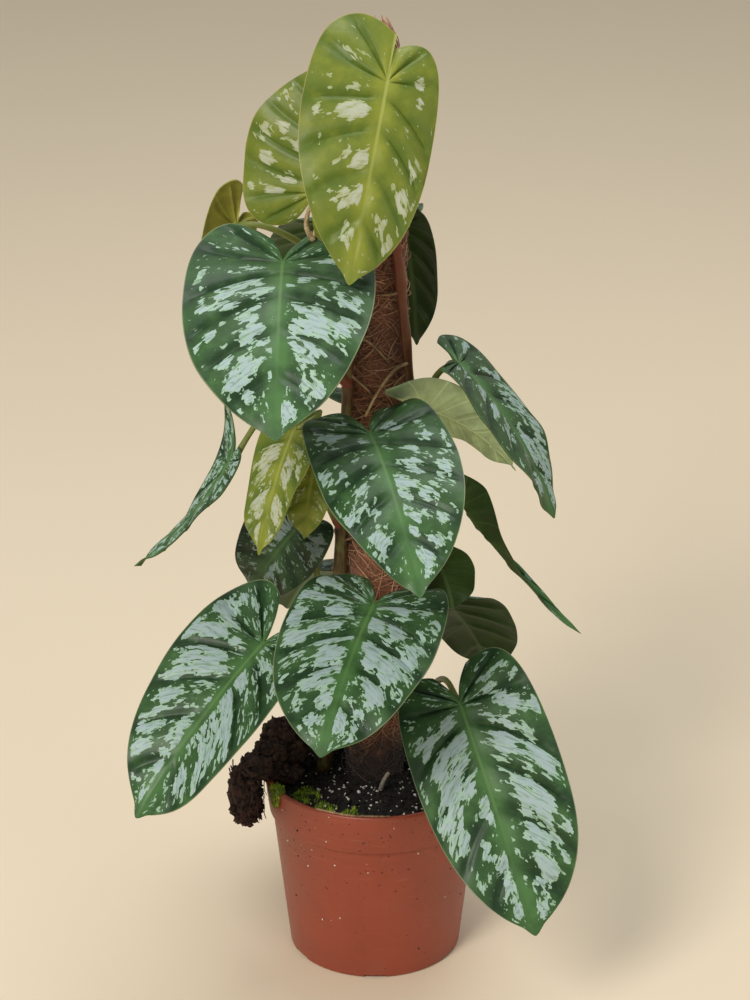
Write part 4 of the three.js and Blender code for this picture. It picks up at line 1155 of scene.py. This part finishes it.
def wandering(points, steps):
    """A smooth line through a few points."""
    knots = [Vector(p) for p in points]
    ends = [knots[0] * 2 - knots[1]] + knots + [knots[-1] * 2 - knots[-2]]
    line = []
    pieces = len(knots) - 1
    for i in range(steps + 1):
        place = min(pieces - 1e-6, pieces * i / steps)
        k, t = int(place), place - int(place)
        p, q, r, s = ends[k:k + 4]
        line.append(
            0.5 * (2 * q + (r - p) * t + (2 * p - 5 * q + 4 * r - s) * t * t + (3 * q - p - 3 * r + s) * t ** 3)
        )
    return line


def moss_shape(count):
    """Cushions of moss: short pointed shoots on the soil and over the pot's rim."""
    chance = random.Random(23)
    tufts = [((-37, -27), 8, 0.42), ((-26, -40), 6, 0.17), ((-52, -28), 6, 0.27), ((-14, -46), 5, 0.14)]
    bm = bmesh.new()
    layer = bm.verts.layers.float.new("tone")
    for (x0, y0), spread, share in tufts:
        for _ in range(int(count * share)):
            a, r = chance.uniform(0, 2 * math.pi), spread * math.sqrt(chance.random())
            x, y = x0 + r * math.cos(a), y0 + r * math.sin(a)
            high = chance.uniform(1.6, 3.4) * (1.2 - r / spread * 0.6)
            lean = Matrix.Rotation(chance.uniform(0, 0.7), 4, Vector((math.sin(a), math.cos(a), 0)))
            if math.hypot(x, y) > 56.6:
                base = POT["height"] - max(0, (math.hypot(x, y) - 59.8) * 2.2)
                if math.hypot(x, y) > 60.5:
                    x, y = x * 60.5 / math.hypot(x, y), y * 60.5 / math.hypot(x, y)
            else:
                base = ground(x, y) - 0.3
            matrix = Matrix.Translation((x, y, base)) @ lean @ Matrix.Translation((0, 0, high / 2))
            made = bmesh.ops.create_cone(
                bm, cap_ends=True, segments=4, radius1=0.42, radius2=0.12, depth=high, matrix=matrix
            )
            for vert in made["verts"]:
                vert[layer] = chance.random()
    return bm


# Lumps of bark as middle and radii: the clump over the rim, of which the solid has three, and the loose crown on it.
# Bark that would enter the pot's rim is moved out to the radius LEANS_AT
LEANS_AT = 60.4
CLUMP = [
    ((-70, -12, 95), (9, 12, 17)),
    ((-69, -16, 87), (8, 10, 8)),
    ((-65, -17, 99), (4, 8, 11)),
    ((-60, -9, 108), (13, 9, 5)),
    ((-48, -6, 104), (9, 10, 5)),
]
# Partly painted shade: the crown's dark lumps fill the shaded gap behind the low leaves, as well as being bark
BARK_AND_SHADE_CROWN = [
    ((-63, -14, 112), (9, 9, 7)),
    ((-56, -5, 117), (9, 9, 7)),
    ((-46, 4, 113), (10, 11, 9)),
    ((-52, 3, 123), (9, 9, 8)),
    ((-41, 11, 120), (9, 10, 9)),
]


def clump_shape():
    """Root-bound bark that lies over the rim: rough lumps, crumbs on them and short roots that hang from them."""
    chance = random.Random(31)
    bm = bmesh.new()
    layer = bm.verts.layers.float.new("tone")
    for at, size in CLUMP + BARK_AND_SHADE_CROWN:
        made = bmesh.ops.create_icosphere(bm, subdivisions=4, radius=1)
        for vert in made["verts"]:
            d = vert.co.copy()
            grown = 1 + 0.12 * uneven(2 * d.x + at[0], 2 * d.y - 1.5 * d.z)
            grown += 0.14 * noise.noise(d * 3.1 + Vector(at)) + 0.12 * noise.noise(d * 7.3 + Vector(at))
            vert.co = Vector((d.x * size[0], d.y * size[1], d.z * size[2])) * grown * 0.95 + Vector(at)
        for _ in range(60):
            d = Vector((chance.gauss(0, 1), chance.gauss(0, 1), chance.gauss(0, 1))).normalized()
            spot = Vector(at) + Vector((d.x * size[0], d.y * size[1], d.z * size[2])) * 0.98
            box = [chance.uniform(0.7, 2.4) for _ in range(3)]
            add_lump(bm, tuple(spot), box, chance.uniform(0, 6), 1, chance.random(), 0.5, chance.uniform(0, 50))
    for vert in bm.verts:
        reach = math.hypot(vert.co.x, vert.co.y)
        if vert.co.z < 105.2 and 56.5 < reach < LEANS_AT:
            vert.co.x *= LEANS_AT / reach
            vert.co.y *= LEANS_AT / reach
    for _ in range(60):
        a = math.radians(chance.uniform(178, 204))
        top, drop = chance.uniform(94, 112), chance.uniform(8, 26)
        out = chance.uniform(65, 78)
        points = []
        for i in range(7):
            t = i / 6
            away = max(61.2, out - 3 * t + 1.5 * math.sin(4 * t + top))
            turn = a + 0.05 * math.sin(3 * t + drop)
            points.append(Vector((away * math.cos(turn), away * math.sin(turn), max(84, top - drop * t))))
        add_tube(bm, points, [0.5 * (1 - 0.6 * i / 6) for i in range(7)], 4, chance.random())
    return bm


def stuck_grain_shape(count, seed, sizes):
    """Grains that watering left on the outside of the pot."""
    chance = random.Random(seed)
    bm = bmesh.new()
    for _ in range(count):
        around = chance.uniform(-math.pi, math.pi)
        z = POT["height"] * chance.random() ** 0.6
        if POT["height"] - POT["band"] - 1 < z < POT["height"] - POT["band"] + 2:
            z -= 5
        out = outer_radius(z) + (POT["step"] if z > POT["height"] - POT["band"] else 0)
        size = chance.uniform(*sizes)
        at = (out * math.cos(around), out * math.sin(around), max(2, min(z, POT["height"] - 2)))
        box = (size, size * chance.uniform(0.6, 1), size * chance.uniform(0.6, 1))
        add_lump(bm, at, box, chance.uniform(0, 6), 1, 0.5, 0.3, chance.uniform(0, 50))
    return bm


# Building
def clear_start_scene():
    """Removes what a new file brings along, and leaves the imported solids."""
    for name in ("Cube", "Light", "Camera"):
        thing = bpy.data.objects.get(name)
        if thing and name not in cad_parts:
            bpy.data.objects.remove(thing)


def add_light(name, at, aim, size, power, colour):
    """A round soft light at a place, turned to its aim."""
    data = bpy.data.lights.new(name, "AREA")
    data.shape = "DISK"
    data.size = size
    data.energy = power
    data.color = linear(colour)[:3]
    lamp = bpy.data.objects.new(name, data)
    lamp.location = at
    lamp.rotation_euler = (Vector(aim) - Vector(at)).to_track_quat("-Z", "Y").to_euler()
    bpy.context.scene.collection.objects.link(lamp)


class PlantBuildPot(bpy.types.Operator):
    """Build the moulded nursery pot"""

    bl_idname = "plant.build_pot"
    bl_label = "Build Pot"

    def execute(self, context):
        settings = context.scene.philodendron_pot
        plastic = moulded_plastic("Moulded clay-coloured plastic", list(settings.clay))
        piece = add_piece("nursery_pot", pot_shape(settings), [plastic], ["pot"], 35)
        cut_away(piece, pot_cutters())
        return {"FINISHED"}


class PlantBuildSoil(bpy.types.Operator):
    """Build the soil with its crumbs, perlite and moss"""

    bl_idname = "plant.build_soil"
    bl_label = "Build Soil"

    def execute(self, context):
        settings = context.scene.philodendron_soil
        peat = crumbly("Damp peat", "#050403", "#211a14", 2.2, 0.95, 0.9)
        perlite = crumbly("Perlite", "#b9b4a6", "#f2efe6", 1.2, 0.9, 0.2)
        moss = crumbly("Moss", "#3f5a12", "#9db52c", 1.1, 0.9, 0.2)
        add_piece("potting_soil", soil_shape(), [peat], ["soil"])
        crumbs = grain_shape(settings.crumbs, (0.5, 2.2), 3, 55)
        add_piece("peat_crumbs", crumbs, [peat])
        grains = grain_shape(settings.perlite, (0.35, 1.25), 17, 55.5)
        add_piece("perlite_grains", grains, [perlite])
        add_piece("moss_tufts", moss_shape(settings.moss), [moss])
        add_piece("stuck_perlite", stuck_grain_shape(46, 41, (0.3, 0.7)), [perlite])
        add_piece("stuck_peat", stuck_grain_shape(60, 43, (0.2, 0.6)), [peat])
        return {"FINISHED"}


class PlantBuildPole(bpy.types.Operator):
    """Build the stake, the coir sleeve and its loose fibres"""

    bl_idname = "plant.build_pole"
    bl_label = "Build Pole"

    def execute(self, context):
        settings = context.scene.philodendron_pole
        coir = coconut_fibre("Coconut fibre", list(settings.dark), list(settings.light))
        wood = split_wood("Turned softwood", "#9c7850", "#5f452c")
        add_piece("pole_stake_turned", stake_shape(), [wood], ["pole_stake"], 35)
        add_piece("coir_sleeve", sleeve_shape(), [coir], ["pole_coir"], 50)
        add_piece("coir_fibres", fibre_shape(settings), [coir])
        return {"FINISHED"}


class PlantBuildStems(bpy.types.Operator):
    """Build the climbing stems and petioles"""

    bl_idname = "plant.build_stems"
    bl_label = "Build Stems"

    def execute(self, context):
        settings = context.scene.philodendron_stems
        skin = fibrous_stem("Stem skin", list(settings.bark), list(settings.green), list(settings.red))
        for name in STEMS:
            add_piece(f"{name}_skin", stem_shape(name, settings), [skin], [name], 60)
        return {"FINISHED"}


class PlantBuildLeaves(bpy.types.Operator):
    """Build the leaf blades"""

    bl_idname = "plant.build_leaves"
    bl_label = "Build Leaves"

    def execute(self, context):
        blades = context.scene.philodendron_blades
        silvers = [list(blades.mint), list(blades.silver)]
        green, lit = list(blades.green), list(blades.lit_green)
        young, young_lit = list(blades.young), list(blades.young_lit)
        pale = [linear("#a2ab82"), linear("#b2b8a2")]
        pairs = blades.vein_pairs
        mature = waxy_blade(
            "Mature leaf skin", [green, lit, linear("#648a4c"), linear("#9da37c")], silvers, pairs, False
        )
        fresh = waxy_blade(
            "Young leaf skin", [young, young_lit, linear("#a3aa58"), linear("#b3a468")], pale, pairs, True
        )
        # Partly painted light: shaded undersides get the darker colour, and the lit one a paler copy
        under = matt_underside("Leaf underside", list(blades.under), False)
        lit_pale_under = matt_underside("Pale leaf underside with painted light", linear("#bcd29c"), False)
        fresh_under = matt_underside("Young leaf underside", linear("#98993a"), True)
        for seed, (name, leaf) in enumerate(LEAVES.items()):
            whole = {**PLAIN, **leaf}
            is_young = leaf["tone"] == "young"
            top = fresh if is_young else mature
            below = fresh_under if is_young else lit_pale_under if name in LIT_PALE_BELOW else under
            bm = blade_shape(name, whole, seed, blades)
            add_piece(f"blade_{name}", bm, [top, below], [f"leaf_{name}"], 55)
        return {"FINISHED"}


class PlantBuildGrowth(bpy.types.Operator):
    """Build the aerial roots, the dry sheath, the root strand and the twig"""

    bl_idname = "plant.build_growth"
    bl_label = "Build Growth"

    def execute(self, context):
        settings = context.scene.philodendron_stems
        root = crumbly("Aerial root skin", "#5a3a24", "#a88a66", 1.6, 0.7, 0.2)
        dry = crumbly("Dry sheath", "#8a6a44", "#c9b68c", 1.4, 0.8, 0.3)
        twig = crumbly("Weathered twig", "#6f675c", "#b5ad9c", 0.8, 0.85, 0.2)
        add_piece("aerial_roots", aerial_root_shape(settings), [root])
        for name, line, radii, sides in STRANDS:
            bm = bmesh.new()
            points = wandering(line, 8 * (len(line) - 1))
            last = len(points) - 1
            widths = [lerp(radii[0], radii[1], i / last) * (1 + 0.12 * math.sin(2.3 * i)) for i in range(last + 1)]
            add_tube(bm, points, widths, sides, 0.6)
            material = twig if name == "twig" else root if name == "rim_strand" else dry
            add_piece(name, bm, [material])
        return {"FINISHED"}


class PlantBuildBark(bpy.types.Operator):
    """Build the clump of root-bound bark at the rim"""

    bl_idname = "plant.build_bark"
    bl_label = "Build Bark"

    def execute(self, context):
        bark = crumbly("Root-bound bark", "#090403", "#543a2f", 1.6, 0.95, 1.0)
        add_piece("bark_mass", clump_shape(), [bark], ["bark_clump"])
        return {"FINISHED"}


class PlantBuildStage(bpy.types.Operator):
    """Add the floor, the lights and the camera"""

    bl_idname = "plant.build_stage"
    bl_label = "Add Stage"

    def execute(self, context):
        scene = context.scene
        settings = scene.philodendron_stage
        bm = bmesh.new()
        bmesh.ops.create_grid(bm, x_segments=8, y_segments=8, size=20)
        mesh = bpy.data.meshes.new("floor")
        bm.to_mesh(mesh)
        bm.free()
        floor = bpy.data.objects.new("floor", mesh)
        scene.collection.objects.link(floor)
        material, tree, shader = start_material("Painted pale floor")
        cloud = noise_of(tree, object_place(tree), 0.004, 2.0, 0.5)
        base = list(settings.floor)
        shade = [c * 0.97 for c in base[:3]] + [1.0]
        tree.links.new(blend(tree, cloud, shade, base), shader.inputs["Base Color"])
        shader.inputs["Roughness"].default_value = 0.6
        mesh.materials.append(material)

        light = settings.light
        add_light("key", (-1.0, -1.8, 1.8), (0, 0, 0.25), 0.9, 42 * light, "#fffaf4")
        add_light("fill", (1.8, -1.3, 1.0), (0, 0, 0.25), 1.6, 4.5 * light, "#eef3ff")
        add_light("top", (0.2, 0.6, 2.2), (0, 0, 0.2), 1.2, 18 * light, "#fbfcff")
        world = bpy.data.worlds.new("Pale room")
        world.use_nodes = True
        background = next(n for n in world.node_tree.nodes if n.type == "BACKGROUND")
        background.inputs["Color"].default_value = linear("#f1efe9")
        background.inputs["Strength"].default_value = 0.42 * light
        scene.world = world
        scene.view_settings.view_transform = "Standard"

        data = bpy.data.cameras.new("front_view")
        data.sensor_fit = "VERTICAL"
        data.sensor_height = 36
        data.lens = 104.83
        camera = bpy.data.objects.new("front_view", data)
        camera.location = (0, -1.4, 0.84)
        camera.rotation_euler = (math.radians(67.5), 0, 0)
        scene.collection.objects.link(camera)
        scene.camera = camera
        return {"FINISHED"}


class PLANT_PT_philodendron(bpy.types.Panel):
    """Buttons and settings for the whole plant."""

    bl_idname = "PLANT_PT_philodendron"
    bl_label = "Potted Philodendron"
    bl_space_type = "VIEW_3D"
    bl_region_type = "UI"
    bl_category = "Plant"

    def draw(self, context):
        layout = self.layout
        for operator, key in STEPS:
            layout.operator(operator.bl_idname)
            for setting in SETTINGS[key].__annotations__ if key else ():
                layout.prop(getattr(context.scene, key), setting)


SETTINGS = {
    "philodendron_stage": PhilodendronStageSettings,
    "philodendron_pot": PhilodendronPotSettings,
    "philodendron_soil": PhilodendronSoilSettings,
    "philodendron_pole": PhilodendronPoleSettings,
    "philodendron_stems": PhilodendronStemSettings,
    "philodendron_blades": PhilodendronBladeSettings,
}
STEPS = [
    (PlantBuildStage, "philodendron_stage"),
    (PlantBuildPot, "philodendron_pot"),
    (PlantBuildSoil, "philodendron_soil"),
    (PlantBuildPole, "philodendron_pole"),
    (PlantBuildStems, "philodendron_stems"),
    (PlantBuildLeaves, "philodendron_blades"),
    (PlantBuildGrowth, None),
    (PlantBuildBark, None),
]
CLASSES = [*SETTINGS.values(), *(operator for operator, _ in STEPS), PLANT_PT_philodendron]


def register():
    for cls in CLASSES:
        bpy.utils.register_class(cls)
    for key, cls in SETTINGS.items():
        setattr(bpy.types.Scene, key, PointerProperty(type=cls))


def unregister():
    for key in SETTINGS:
        delattr(bpy.types.Scene, key)
    for cls in reversed(CLASSES):
        bpy.utils.unregister_class(cls)


def main():
    register()
    clear_start_scene()
    bpy.ops.plant.build_stage()
    bpy.ops.plant.build_pot()
    bpy.ops.plant.build_soil()
    bpy.ops.plant.build_pole()
    bpy.ops.plant.build_stems()
    bpy.ops.plant.build_leaves()
    bpy.ops.plant.build_growth()
    bpy.ops.plant.build_bark()


if __name__ == "__main__":
    main()
